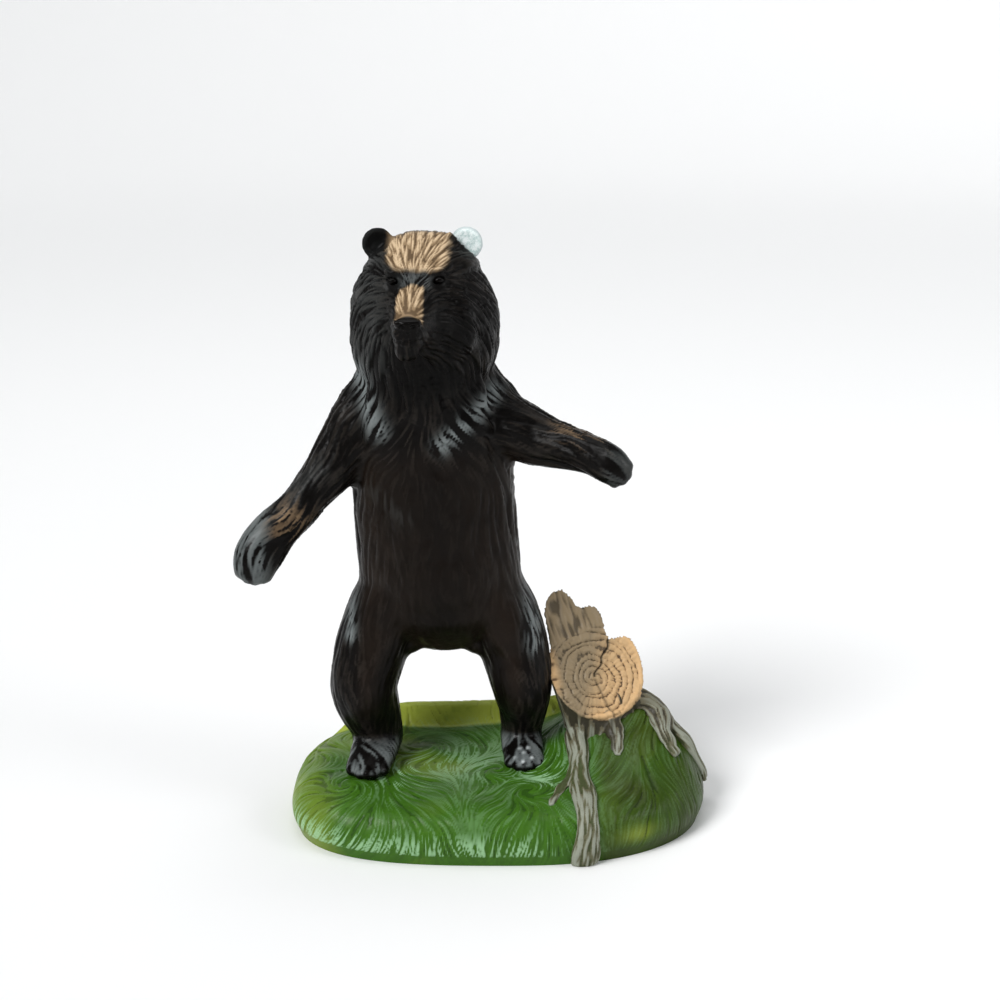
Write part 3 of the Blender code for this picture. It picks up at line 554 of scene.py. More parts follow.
def comb(thing, seeds, way_of, width, length, random, taper=0.5):
    """Strokes laid along a flow over the surface from each seed, as rows of stamps."""
    tree = BVHTree.FromObject(thing, bpy.context.evaluated_depsgraph_get())
    stamps = []
    for seed in seeds:
        point = Vector(seed)
        wide = width * random.uniform(*STROKE_WIDTHS)
        reach = length * random.uniform(*STROKE_LENGTHS)
        tone = random.random()
        steps = max(3, round(reach / (wide * STAMP_STEP)))
        for step in range(steps + 1):
            point, normal = tree.find_nearest(point)[:2]
            way = way_of(point, normal)
            way = (way - normal * way.dot(normal)).normalized()
            share = step / steps
            half = wide / 2 * (1.0 - taper * share)
            crest = math.sin(math.pi * (0.10 + 0.82 * share)) ** 0.7
            stamps.append((*point, *way, *normal, half, crest, tone))
            point = point + way * (reach / steps)
    return np.array(stamps)


def press(points, stamps):
    """Height and tone of the highest stroke over each point."""
    tree = KDTree(len(points))
    for index, point in enumerate(points):
        tree.insert(point, index)
    tree.balance()
    hits, owners = [], []
    for number, stamp in enumerate(stamps):
        found = [index for _, index, _ in tree.find_range(Vector(stamp[:3]), stamp[HALF_WIDTH])]
        hits += found
        owners += [number] * len(found)
    hits, owners = np.array(hits), np.array(owners)
    rows = stamps[owners]
    offset = points[hits] - rows[:, :3]
    way, normal = rows[:, 3:6], rows[:, 6:9]
    offset = offset - way * np.sum(offset * way, axis=1)[:, None]
    offset = offset - normal * np.sum(offset * normal, axis=1)[:, None]
    beside = np.linalg.norm(offset, axis=1) / rows[:, HALF_WIDTH]
    height = rows[:, CREST] * np.sqrt(np.maximum(0.0, 1.0 - beside ** 2))
    order = np.argsort(height)
    relief, tone = np.zeros(len(points)), np.zeros(len(points))
    relief[hits[order]] = height[order]
    tone[hits[order]] = rows[order, TONE]
    return relief, tone


def seeds_on(thing, wanted, spacing, cover, random):
    """Random places on the wanted vertices, so many that strokes of that spacing cover them."""
    chosen = np.flatnonzero(wanted)
    thing.data.calc_loop_triangles()
    area = sum(polygon.area for polygon in thing.data.polygons) * len(chosen) / len(wanted)
    count = min(int(cover * area / spacing), len(chosen))
    places = places_of(thing)
    return places[random.choice(chosen, count, replace=False)]


def finish_piece(piece, material):
    """Give a piece its material, smooth faces, its body and its slot, and hide the packed node that it
    stands for.
    """
    piece.data.materials.clear()
    piece.data.materials.append(material)
    piece.data.shade_smooth()
    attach(piece, "root")
    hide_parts(NODE)


class ShaderTree:
    """A node tree, with short ways to add to it."""

    def __init__(self, tree):
        self.tree = tree
        self.shader = tree.nodes.get("Principled BSDF")

    def add(self, kind, **values):
        """A new node, with values for its properties."""
        node = self.tree.nodes.new(kind)
        for name, value in values.items():
            setattr(node, name, value)
        return node

    def feed(self, node, **values):
        """Link sockets or set plain numbers on the node's inputs, their names with _ for a space."""
        for name, value in values.items():
            self.put(node.inputs[name.replace("_", " ")], value)

    def put(self, socket, value):
        """Link a socket to another, or set plain numbers on it."""
        if isinstance(value, bpy.types.NodeSocket):
            self.tree.links.new(value, socket)
        else:
            socket.default_value = (*value, 1.0) if socket.type == "RGBA" else value

    def attribute(self, name):
        """The number that a piece keeps under a name."""
        return self.add("ShaderNodeAttribute", attribute_name=name).outputs["Fac"]

    def maths(self, operation, *values):
        """A math node fed by sockets or numbers."""
        node = self.add("ShaderNodeMath", operation=operation)
        for socket, value in zip(node.inputs, values):
            self.put(socket, value)
        return node.outputs[0]

    def span(self, value, low, high):
        """An easy step from 0 at low to 1 at high."""
        node = self.add("ShaderNodeMapRange", interpolation_type="SMOOTHSTEP")
        self.feed(node, Value=value, From_Min=low, From_Max=high)
        return node.outputs["Result"]

    def blend(self, mask, first, second):
        """Mix two colours, each a socket or plain numbers, by a mask."""
        node = self.add("ShaderNodeMix", data_type="RGBA")
        self.feed(node, Factor=mask)
        for socket, value in zip((item for item in node.inputs if item.type == "RGBA"), (first, second)):
            self.put(socket, value)
        return next(item for item in node.outputs if item.type == "RGBA")

    def lay_out(self):
        """Place the nodes in columns, by how many links lie between each and the output."""
        depth = {node.name: 0 for node in self.tree.nodes}
        for _ in range(len(depth)):
            for link in self.tree.links:
                before, after = link.from_node.name, link.to_node.name
                depth[before] = max(depth[before], depth[after] + 1)
        filled = dict.fromkeys(depth.values(), 0)
        for node in self.tree.nodes:
            column = depth[node.name]
            node.location = (-240 * column, -260 * filled[column])
            filled[column] += 1


def scaled(colour, *factors):
    """A colour with its channels times one factor, or times a factor each."""
    if len(factors) == 1:
        factors *= 3
    return tuple(value * factor for value, factor in zip(colour, factors))


def brushwork_group():
    """Shader group for hand-brushed glaze: hollows, crests, mottling and fine brush marks."""
    known = bpy.data.node_groups.get("Brushed glaze")
    if known:
        return known
    group = bpy.data.node_groups.new("Brushed glaze", "ShaderNodeTree")
    group.interface.new_socket("Place", in_out="INPUT", socket_type="NodeSocketVector")
    for name in ("Relief", "Tone"):
        group.interface.new_socket(name, in_out="INPUT", socket_type="NodeSocketFloat")
    for name in ("Hollow", "Crest", "Mottle", "Height"):
        group.interface.new_socket(name, in_out="OUTPUT", socket_type="NodeSocketFloat")
    tree = ShaderTree(group)
    start, end = tree.add("NodeGroupInput"), tree.add("NodeGroupOutput")

    def lumps(scale, detail):
        node = tree.add("ShaderNodeTexNoise")
        tree.feed(node, Scale=scale, Detail=detail, Roughness=0.6, Vector=start.outputs["Place"])
        return node.outputs["Fac"]

    mottle, brush, grit = lumps(55.0, 4.0), lumps(620.0, 3.0), lumps(2600.0, 2.0)
    uneven = tree.maths("MULTIPLY_ADD", brush, 0.30, -0.15)
    relief = tree.maths("ADD", start.outputs["Relief"], uneven)
    hollow = tree.maths("SUBTRACT", 1.0, tree.span(relief, 0.08, 0.50))
    picked = tree.maths("MULTIPLY_ADD", start.outputs["Tone"], 0.75, 0.25)
    crest = tree.maths("MULTIPLY", tree.span(relief, 0.62, 0.98), picked)
    height = tree.maths("MULTIPLY_ADD", grit, 0.35, tree.maths("MULTIPLY", brush, 0.65))
    tree.feed(end, Hollow=hollow, Crest=crest, Mottle=mottle, Height=height)
    tree.lay_out()
    return group


def new_glaze(name, specular, coat, coat_roughness, bump):
    """A material with brush marks in its glaze; returns it, its tree and the brushwork's sockets."""
    material = bpy.data.materials.new(name)
    material.use_nodes = True
    tree = ShaderTree(material.node_tree)
    group = tree.add("ShaderNodeGroup", node_tree=brushwork_group())
    place = tree.add("ShaderNodeTexCoord").outputs["Object"]
    tree.feed(group, Place=place, Relief=tree.attribute("relief"), Tone=tree.attribute("tone"))
    marks = tree.add("ShaderNodeBump")
    tree.feed(marks, Strength=bump, Distance=0.0003, Height=group.outputs["Height"])
    tree.feed(tree.shader, Specular_IOR_Level=specular, Coat_Weight=coat, Coat_Roughness=coat_roughness,
              Normal=marks.outputs["Normal"])
    return material, tree, group.outputs


def finish_glaze(tree, colour, roughness):
    """Put the colour and the roughness on the shader."""
    tree.feed(tree.shader, Base_Color=colour, Roughness=roughness)
    tree.lay_out()


def coat_glaze(bear):
    """Black-brown satin glaze, tan on the muzzle and forehead, with painted highlights, painted shade and
    painted glints.
    """
    material, tree, brushed = new_glaze("Bear glaze", specular=0.06, coat=0.02, coat_roughness=0.22,
                                        bump=0.35)
    relief, tan = tree.attribute("relief"), tree.attribute("tan")
    # Painted highlight: paler colour on the strand crests.
    colour = tree.blend(brushed["Crest"], bear.coat, bear.coat_crest_highlight)
    warmed = tree.maths("MULTIPLY", tree.attribute("warm"), brushed["Mottle"])
    colour = tree.blend(warmed, colour, scaled(bear.coat_crest_highlight, 1.0, 0.80, 0.66))
    # Painted shade: blackest glaze where the deep mask lies.
    colour = tree.blend(tree.attribute("deep"), colour, bear.coat_painted_shade)
    rubbed = tree.maths("MULTIPLY", tree.attribute("rub"), brushed["Crest"])
    colour = tree.blend(rubbed, colour, bear.rub)
    # Painted highlight: blue-grey sheen on the crests where the sheen mask lies.
    painted_sheen_mask = tree.maths("MULTIPLY", tree.attribute("painted_sheen"), tree.span(relief, 0.30, 0.95))
    colour = tree.blend(painted_sheen_mask, colour, bear.painted_sheen)
    tans = tree.blend(tree.span(relief, 0.02, 0.46), bear.tan_dark, bear.tan)
    tans = tree.blend(tree.span(relief, 0.60, 0.98), tans, bear.tan_pale)
    colour = tree.blend(tan, colour, tans)
    # Painted glints: white on the toes where the glint mask lies.
    colour = tree.blend(tree.attribute("painted_glint"), colour, GLINT_WHITE)
    rough = tree.maths("MULTIPLY_ADD", brushed["Mottle"], 0.22, 0.22)
    rough = tree.maths("MULTIPLY_ADD", tan, 0.22, rough)
    rough = tree.maths("MULTIPLY_ADD", tree.attribute("gloss"), -0.14, rough)
    finish_glaze(tree, colour, rough)
    return material


def grass_glaze(mound):
    """Green glaze with pale mint crests, olive ends, darker hollows between the blades and brown-green
    painted shade.
    """
    material, tree, brushed = new_glaze("Grass glaze", specular=0.14, coat=0.05, coat_roughness=0.22,
                                        bump=0.3)
    tone = tree.attribute("tone")
    dull = tree.maths("MAXIMUM", tree.maths("MULTIPLY_ADD", tone, -0.55, 0.55), brushed["Hollow"])
    lawn = tree.blend(dull, mound.green, mound.green_dark)
    olive = tree.blend(brushed["Hollow"], mound.olive, scaled(mound.olive, 0.62))
    mottled = tree.span(brushed["Mottle"], 0.10, 0.50)
    colour = tree.blend(tree.maths("MULTIPLY", tree.attribute("olive"), mottled), lawn, olive)
    # Painted shade: brown-green where the shade mask lies, darker still between the blades.
    painted_shade_colour = tree.blend(dull, mound.shade, scaled(mound.shade, 0.45))
    colour = tree.blend(tree.attribute("shade"), colour, painted_shade_colour)
    much = tree.maths("MULTIPLY_ADD", tone, 0.10, tree.attribute("mint"))
    pale = tree.maths("MULTIPLY", much, tree.span(tree.attribute("relief"), 0.84, 0.99))
    colour = tree.blend(pale, colour, mound.mint)
    finish_glaze(tree, colour, tree.maths("MULTIPLY_ADD", brushed["Mottle"], 0.24, 0.26))
    return material


def wood_glaze(stump):
    """Golden tan on the cut, grey-brown on the bark and whitish on the crests."""
    material, tree, brushed = new_glaze("Wood glaze", specular=0.2, coat=0.06, coat_roughness=0.25,
                                        bump=0.45)
    fresh = tree.blend(brushed["Hollow"], stump.cut, stump.cut_dark)
    old = tree.blend(brushed["Hollow"], stump.aged, scaled(stump.aged, 0.36))
    cut = tree.blend(tree.attribute("aged"), fresh, old)
    bark = tree.blend(brushed["Hollow"], stump.bark, stump.bark_dark)
    ridge = tree.span(tree.attribute("relief"), 0.55, 0.92)
    bark = tree.blend(tree.maths("MULTIPLY", ridge, tree.attribute("pale")), bark, stump.bark_pale)
    mossy = tree.maths("MULTIPLY", tree.attribute("moss"), brushed["Mottle"])
    bark = tree.blend(mossy, bark, MOSS)
    colour = tree.blend(tree.attribute("cut"), bark, cut)
    colour = tree.blend(tree.attribute("crack"), colour, stump.bark_dark)
    finish_glaze(tree, colour, tree.maths("MULTIPLY_ADD", brushed["Mottle"], 0.3, 0.32))
    return material


def ear_glaze(pale):
    """Pale worn ear whose dark glaze is gone."""
    material, tree, brushed = new_glaze("Bare ear", specular=0.5, coat=0.15, coat_roughness=0.3,
                                        bump=0.5)
    colour = tree.blend(tree.span(brushed["Height"], 0.42, 0.60), pale, scaled(pale, 0.58, 0.68, 0.67))
    colour = tree.blend(tree.attribute("edge"), colour, EAR_RIM)
    finish_glaze(tree, colour, tree.maths("MULTIPLY_ADD", brushed["Mottle"], 0.3, 0.35))
    return material


def eye_glaze():
    """Black gloss of the eyes."""
    material, tree, brushed = new_glaze("Eye gloss", specular=0.08, coat=0.03, coat_roughness=0.05,
                                        bump=0.05)
    finish_glaze(tree, tree.blend(brushed["Mottle"], *EYE_BLACKS), 0.08)
    return material


def bear_form(plan):
    """Body, limbs, head and their small forms, fused into one soft skin."""
    mesh = bmesh.new()
    for stations in (TORSO, HEAD, BIB, HUMP):
        add_loft(mesh, plan, stations, level=True)
    for stations in (LEFT_LEG, RIGHT_LEG, LEFT_ARM, RIGHT_ARM, TAIL):
        add_loft(mesh, plan, stations)
    add_loft(mesh, plan, MUZZLE, deep=(0, 0, 1))
    add_ball(mesh, plan, CHIN, CHIN_HALF)
    for place in TUFTS:
        add_ball(mesh, plan, place, TUFT_HALF)
    for stations in (LEFT_FOOT, RIGHT_FOOT):
        add_loft(mesh, plan, stations, deep=(0, 0, 1), dome=0.7)
    for place, halves in BREAST + THIGH_FOLDS + CHEEKS:
        add_ball(mesh, plan, place, halves)
    form = object_from(mesh, "bear form")
    fuse(form, BEAR_VOXEL, rounds=15)
    details = bmesh.new()
    for foot, arm in ((LEFT_FOOT, LEFT_ARM), (RIGHT_FOOT, RIGHT_ARM)):
        add_toes(details, plan, foot)
        add_fingers(details, plan, arm)
    for place, halves in NOSE_PADS:
        add_ball(details, plan, place, halves)
    for side, (x, y, z) in zip((-1, 1), EYES):
        add_ball(details, plan, (x - side * 1.0, y + 4.0, z + 3.0), BROW_HALF)
    add_ear(details, plan, LEFT_EAR, turn_deg=12.0, cup=1.35)
    for tuft in range(EAR_TUFTS):
        place = [first + step * tuft for first, step in zip(EAR_TUFT_FIRST, EAR_TUFT_STEP)]
        add_ball(details, plan, place, (1.9, 2.2, 2.0 + 0.5 * (tuft % 2)))
    form = join([form, object_from(details, "details")], "bear form")
    fuse(form, DETAIL_VOXEL, rounds=2)
    return form


def add_toes(mesh, plan, stations):
    """A row of toes round the front end of a foot."""
    x, y, _, wide, _ = stations[-1]
    for toe in range(TOES):
        share = toe / (TOES - 1) * 2.0 - 1.0
        back, low = 0.4 + TOE_SWEEP * share * share, 0.4 * share * share
        add_ball(mesh, plan, (x + share * wide * TOE_SPREAD, y + back, TOE_HEIGHT - low), TOE_HALF)


def add_fingers(mesh, plan, stations):
    """The blunt fingers at the end of an arm."""
    before = Vector(stations[-2][:3])
    tip = Vector(stations[-1][:3])
    along = (tip - before).normalized()
    across = along.cross(Vector((0, 1, 0))).normalized()
    for finger in range(FINGERS):
        share = finger / (FINGERS - 1) * 2.0 - 1.0
        place = tip + along * (0.7 - 2.0 * share * share) + across * share * FINGER_SPREAD
        add_ball(mesh, plan, place, FINGER_HALF)


def fur_flow(plan):
    """A function that gives the way the fur runs at a point of the bear."""
    places, ways = [], []
    limbs = (LEFT_LEG, RIGHT_LEG, LEFT_ARM, RIGHT_ARM)
    for stations, sense in ((TORSO, -1), *((limb, 1) for limb in limbs)):
        line = np.array([plan.at(*row[:3]) for row in curve_through(stations, 3)])
        run = np.gradient(line, axis=0) * sense
        places.append(line)
        ways.append(run / np.linalg.norm(run, axis=1)[:, None])
    places, ways = np.vstack(places), np.vstack(ways)
    soft = (4 * plan.part) ** 2
    nose, brow = plan.at(*NOSE_TIP), plan.at(-8.0, -26.0, 211.0)
    chin_z, cheek_z = plan.at(0, 0, 158).z, plan.at(0, 0, 196).z
    reach = 42 * plan.part
    turn_axis = Vector((0, 1, 0))

    def way_of(point, _):
        near = 1.0 / (np.sum((places - np.array(point)) ** 2, axis=1) + soft) ** 2
        way = Vector(near @ ways / near.sum()).normalized()
        on_head = float(ease(point.z, chin_z, cheek_z))
        turn = noise.noise(point * 60.0) * 0.75
        if on_head > 0.0:
            away = point - nose
            fall = 0.15 + 0.9 * min(1.0, away.length / reach) ** 2
            cheek = away.normalized() + Vector((0, 0, -fall))
            crown = (point - brow).normalized()
            top = float(ease(point.z, brow.z + 0.0015, brow.z + 0.0055))
            way = way.lerp(cheek.lerp(crown, top), on_head)
            turn *= 1.0 - 0.55 * top
        return Matrix.Rotation(turn, 3, turn_axis) @ way

    return way_of


def region_masks(plan, points, normals):
    """Where the bear is tan, rubbed, glossy and warm, and where it gets painted highlights, painted shade
    and painted glints.

    Places and reaches are in parts of the sculptor's grid.
    """
    grid = plan.grid(points)
    x, y, z = grid.T
    facing, up = -normals[:, 1], normals[:, 2]
    muzzle = ease(x, -15.6, -14.4) * fade(x, -5.0, -3.8) * ease(up, 0.05, 0.35)
    muzzle *= ease(-y, 26.5, 29.0) * fade(-y, 43.0, 44.2) * ease(z, 199.0, 201.5)
    ragged = swell(points, 420.0, 3.0)
    fan_x, fan_z = x + 7.5, z - 212.5
    spread = np.abs(fan_x) / np.maximum(fan_z, 0.1)
    fan_x += 1.2 * ragged
    forehead = ease(z + 0.9 * ragged, 216.2, 218.8) * fade(spread, 1.25, 2.1) * fade(y, 0.0, 9.0)
    forehead *= ease(fan_x, -14.0, -10.5) * fade(fan_x, 10.0, 14.0)
    left_rub = glow((x, -62.0, 7.0), (z, 115.0, 6.0)) * ease(facing, 0.2, 0.7)
    right_rub = ease(x, 42.0, 50.0) * fade(x, 64.0, 72.0) * ease(up, 0.25, 0.7)
    hands = np.maximum(fade(x, -74.0, -68.0), ease(x, 64.0, 70.0))
    gloss = fade(z, 12.0, 16.0) + hands + fade(away_from(grid, NOSE_TIP), 5.6, 6.6)
    warm = fade(z, 125.0, 150.0) * ease(z, 18.0, 40.0) * ease(-np.abs(x), -38.0, -30.0)
    # Painted highlights: blue-grey sheen on the hands, the tops of the feet, the head's left side and along
    # the streaks, where light would lie on the glaze.
    painted_sheen = 0.55 * fade(x, -74.0, -66.0) + 0.16 * ease(x, 64.0, 70.0)
    painted_sheen += 0.85 * fade(z, 8.0, 14.5) * ease(up, -0.1, 0.5)
    painted_sheen += 0.10 * ease(-x, 14.0, 26.0) * ease(z, 170.0, 182.0)
    for (x_low, z_low), (x_high, z_high), reach, much in PAINTED_SHEEN_STREAKS:
        run = np.array((x_high - x_low, z_high - z_low))
        share = np.clip(((x - x_low) * run[0] + (z - z_low) * run[1]) / (run @ run), 0.0, 1.0)
        beside = np.hypot(x - x_low - share * run[0], z - z_low - share * run[1])
        painted_sheen += much * glow((beside, 0.0, reach)) * ease(facing, -0.1, 0.4)
    # Painted shade: the deep mask blackens the glaze under the chin, on the head's right side away from the
    # light, on the belly and on the inner legs, where shade falls.
    throat = glow((x, -3.0, 26.0), (z, 174.0, 14.0))
    jowl = 0.90 * ease(x, -5.0, 2.0) * glow((z, 196.0, 16.0))
    belly = 0.60 * glow((x, 0.0, 26.0)) * ease(z, 50.0, 66.0) * fade(z, 126.0, 146.0)
    deep = np.maximum(np.maximum(throat, jowl), belly) * ease(facing, -0.1, 0.5)
    inner = ease(-normals[:, 0] * np.sign(x), 0.1, 0.7) * fade(z, 50.0, 70.0) * ease(z, 14.0, 22.0)
    masks = {
        "tan": muzzle + forehead, "rub": 1.5 * left_rub + 0.6 * right_rub, "gloss": gloss, "warm": warm,
        "painted_sheen": painted_sheen, "deep": np.maximum(deep, 0.8 * inner),
        # Painted glints: white touches that stand in for highlights on the glossy toes
        "painted_glint": 1.3 * sum(glow((away_from(grid, spot), 0.0, 0.95)) for spot in TOE_GLINTS) - 0.2,
    }
    return {name: np.clip(values, 0.0, 1.0) for name, values in masks.items()}


def fur_depth(plan, points):
    """How deep the big locks and the fine strands are at each point, from 0 to 1."""
    grid = plan.grid(points)
    x, _, z = grid.T
    furry = ease(away_from(grid, NOSE_TIP), 3.6, 5.4) * ease(away_from(grid, LEFT_EAR), 6.0, 8.5)
    for eye in EYES:
        furry *= ease(away_from(grid, eye), 3.4, 5.4)
    feet = ease(z, 9.0, 15.0)
    hands = ease(x, -76.0, -68.0) * fade(x, 64.0, 72.0)
    muzzle = ease(away_from(grid, MUZZLE_MIDDLE), 12.0, 17.0)
    low = fade(z, 70.0, 118.0)
    big = furry * feet * hands * muzzle * (1.0 - 0.5 * low) * (1.0 + glow((z, 164.0, 7.0)))
    fine = furry * (0.45 + 0.55 * feet) * (0.45 + 0.55 * hands) * (0.55 + 0.45 * muzzle)
    return big, fine * (1.0 - 0.35 * low)


def sculpt_face(plan, points):
    """Nostrils, the groove under the nose, the mouth and the eye hollows, as heights in metres."""
    x, y, z = plan.grid(points).T
    nose_x, _, nose_z = NOSE_TIP
    from_middle = np.abs(x - nose_x)
    heights = np.zeros(len(points))
    for side in (-1, 1):
        from_hole = np.hypot((x - nose_x - side * 2.2) / 1.2, (z - nose_z + 0.5) / 0.7)
        heights -= 0.9 * fade(from_hole, 0.5, 1.2) * ease(-y, 44.0, 46.0)
    under = fade(from_middle, 0.3, 0.9) * ease(z, 193.0, 194.0) * fade(z, 197.0, 198.0)
    heights -= 0.55 * under * ease(-y, 38.0, 41.0)
    from_mouth = np.abs(z - 193.6 - 0.018 * from_middle ** 2)
    heights -= 0.45 * fade(from_mouth, 0.2, 0.95) * ease(-y, 26.0, 30.0) * fade(from_middle, 4.0, 7.5)
    for (eye_x, eye_y, eye_z), tilt in zip(EYES, (0.12, -0.12)):
        rise = 1.2 * (z - eye_z) + tilt * (x - eye_x)
        away = np.hypot((x - eye_x) / EYE_HALF, rise)
        near = fade(np.abs(y - eye_y), 5.0, 8.0)
        heights -= 1.6 * fade(away, 0.8, 1.6) * near
        heights += 0.35 * glow((away, 2.0, 0.5)) * near * np.where(rise > 0.0, 1.0, 0.4)
    return heights * plan.part


def dress_coat(plan, piece, locks, strands, fine_face):
    """Press the fur into a part of the coat and keep the numbers that its glaze reads."""
    points, normals = places_of(piece), places_of(piece, "normal")
    bear, rise = plan.bear, plan.grid(points)[:, 2]
    big, fine = fur_depth(plan, points)
    lock_relief, _ = press(points, locks)
    relief, tone = press(points, strands)
    crown = ease(rise, 214.0, 221.0)
    big *= 1.0 - 0.7 * crown
    deeper = (1.0 + 0.5 * ease(rise, 168.0, 182.0)) * (1.0 - 0.45 * crown)
    heights = (lock_relief - STROKE_LEVEL) * bear.lock_height * big
    heights += (relief - STROKE_LEVEL) * bear.strand_height * fine * deeper
    if fine_face:
        heights += sculpt_face(plan, points)
    move_out(piece, heights)
    shown = np.clip(1.6 * fine, 0.0, 1.0)
    paint(piece, relief=relief * shown + 0.55 * (1.0 - shown), tone=tone)
    paint(piece, **region_masks(plan, points, normals))


class FIGURINE_OT_bear(bpy.types.Operator):
    """Model the bear's head and body and press the fur into them"""
    bl_idname = "figurine.bear"
    bl_label = "Bear"

    def execute(self, context):
        plan = Plan()
        bear = plan.bear
        random = np.random.default_rng(FUR_DRAWS)
        form = bear_form(plan)
        way_of = fur_flow(plan)
        x, y, z = plan.grid(places_of(form)).T
        shown = z > 3.0
        locks = comb(form, seeds_on(form, shown, bear.lock_width * bear.lock_length, 1.5, random),
                     way_of, bear.lock_width, bear.lock_length, random)
        face = (z > 188.0) & (y < 2.0)
        brow = (z > 200.5) & (y < 6.0) & (np.abs(x + 8.0) < 15.0)
        # Where strands start, the shares of their spacing, width and length, their cover and their taper
        regions = (
            (shown & ~face, 1.0, 1.0, 1.0, 2.1, 0.5), (face & ~brow, 0.6, 0.8, 0.75, 2.0, 0.5),
            (brow, 0.38, 0.48, 0.7, 2.6, 0.3),
        )
        spacing = bear.strand_width * bear.strand_length
        seeds = [seeds_on(form, wanted, spacing * share, cover, random)
                 for wanted, share, _, _, cover, _ in regions]
        strands = np.vstack([
            comb(form, places, way_of, bear.strand_width * wide, bear.strand_length * long, random, taper)
            for places, (_, _, wide, long, _, taper) in zip(seeds, regions)
        ])
        neck = plan.at(0, 0, NECK_PARTS)
        head = form.copy()
        head.data = form.data.copy()
        head.name = head.data.name = "bear_head"
        context.scene.collection.objects.link(head)
        keep_side(head, neck, (0, 0, 1))
        refine(head)
        body = form
        body.name = body.data.name = "bear_body"
        keep_side(body, neck + Vector((0, 0, NECK_OVERLAP)), (0, 0, -1))
        keep_side(body, (0, 0, plan.mound.grass - 0.006), (0, 0, 1))
        dress_coat(plan, head, locks, strands, fine_face=True)
        dress_coat(plan, body, locks, strands, fine_face=False)
        move_out(body, ease(places_of(body)[:, 2], neck.z + 0.0001, neck.z + 0.0012) * -0.0003)
        glaze = coat_glaze(bear)
        for piece in (head, body):
            finish_piece(piece, glaze)
        return {"FINISHED"}


class FIGURINE_OT_eyes(bpy.types.Operator):
    """Set two glossy black eyes into their hollows"""
    bl_idname = "figurine.eyes"
    bl_label = "Eyes"

    def execute(self, context):
        plan = Plan()
        beads = []
        for place in EYES:
            bpy.ops.object.select_all(action="DESELECT")
            centre = plan.at(*place) + Vector((0.0, 0.0013, 0.0))
            bpy.ops.mesh.primitive_uv_sphere_add(segments=32, ring_count=20, radius=EYE_HALF * plan.part,
                                                 location=centre)
            bead = context.active_object
            bpy.ops.object.mode_set(mode="EDIT")
            bpy.ops.mesh.select_all(action="SELECT")
            bpy.ops.transform.resize(value=(1.20, 0.95, 0.80))
            bpy.ops.object.mode_set(mode="OBJECT")
            bpy.ops.object.transform_apply(location=True, rotation=True, scale=True)
            beads.append(bead)
        eyes = join(beads, "bear_eyes")
        count = len(eyes.data.vertices)
        paint(eyes, relief=np.full(count, 0.5), tone=np.full(count, 0.5))
        finish_piece(eyes, eye_glaze())
        return {"FINISHED"}


class FIGURINE_OT_bare_ear(bpy.types.Operator):
    """Model the pale ear that has lost its dark glaze"""
    bl_idname = "figurine.bare_ear"
    bl_label = "Bare ear"

    def execute(self, context):
        plan = Plan()
        mesh = bmesh.new()
        add_ear(mesh, plan, RIGHT_EAR, turn_deg=-10.0, cup=0.30)
        ear = object_from(mesh, "bare_ear")
        refine(ear)
        points = places_of(ear)
        x, _, z = (plan.grid(points) - np.array(RIGHT_EAR)).T
        lumps = swell(points, 700.0)
        move_out(ear, lumps * 0.00014)
        paint(ear, relief=0.5 + 0.3 * lumps, tone=0.5 + 0.5 * swell(points, 300.0, 4.0),
              edge=ease(np.hypot(x, z), 5.4, 6.3))
        finish_piece(ear, ear_glaze(plan.bear.bare_ear))
        return {"FINISHED"}


def rim_distance(plan, turn):
    """How far the mound reaches from its middle in one direction, squarer at its left end."""
    mound = plan.mound
    across, along = math.cos(turn), math.sin(turn)
    wide = mound.right if across > 0 else mound.left
    deep = mound.back if along > 0 else mound.front
    power = 2.65 - 0.42 * across
    return (abs(across / wide) ** power + abs(along / deep) ** power) ** (-1.0 / power)


def grass_level(plan, x, y):
    """The height of the lawn before it rolls over the rim."""
    mound, stump = plan.mound, plan.stump
    back = mound.back_rise * float(ease(y, mound.back_start, mound.back_start + 0.010))
    away = math.hypot(x - stump.place_x - mound.hill_shift, y - stump.place_y - mound.hill_shift / 2)
    away /= mound.hill_reach
    lumps = noise.noise(Vector((x, y, 0.0)) * 42.0) + 0.5 * noise.noise(Vector((y, x, 0.02)) * 95.0)
    rises = sum(HUMMOCK_RISE * math.exp(-((x - place_x) ** 2 + (y - place_y) ** 2) / (0.7 * reach) ** 2)
                for place_x, place_y, reach in HUMMOCKS)
    return mound.grass + back + mound.hill_rise * math.exp(-away * away) + 0.0012 * lumps + rises


def mound_form(plan):
    """The mound as rings from its flat foot, over the rim to the middle of the lawn."""
    mesh = bmesh.new()
    sides = 160
    rings = []
    for reach, height in curve_through(MOUND_PROFILE, 3):
        ring = []
        for turn in turns(sides):
            away = rim_distance(plan, turn) * reach
            x, y = away * math.cos(turn), away * math.sin(turn)
            ring.append(Vector((x, y, grass_level(plan, x, y) * height)))
        rings.append(ring)
    add_rings(mesh, rings)
    return object_from(mesh, "mound")


def grass_flow(plan):
    """A function that gives the way the grass is combed at a point of the mound."""
    mound = plan.mound
    up = Vector((0, 0, 1))

    def way_of(point, _):
        out = Vector((point.x / mound.right ** 2, point.y / mound.front ** 2, 0.0)).normalized()
        on_top = float(ease(point.z, mound.grass * 0.55, mound.grass * 0.95))
        front = Vector((0.25 * noise.noise(point * 30.0), -1.0, 0.0))
        way = out.lerp(front, 0.75 * on_top)
        turn = noise.noise(point * 34.0) * (1.5 * on_top + 0.55)
        way = Matrix.Rotation(turn, 3, up) @ way
        for x, y, reach in HUMMOCKS:
            offset = Vector((point.x - x, point.y - y, 0.0))
            near = math.exp(-(offset.length / (1.25 * reach)) ** 2)
            away = offset.normalized()
            sense = 1.0 if x < -0.02 else -1.0
            way = way.lerp(0.35 * away + away.cross(up) * sense, min(1.0, 1.3 * near))
        return way + Vector((0, 0, -0.7))

    return way_of


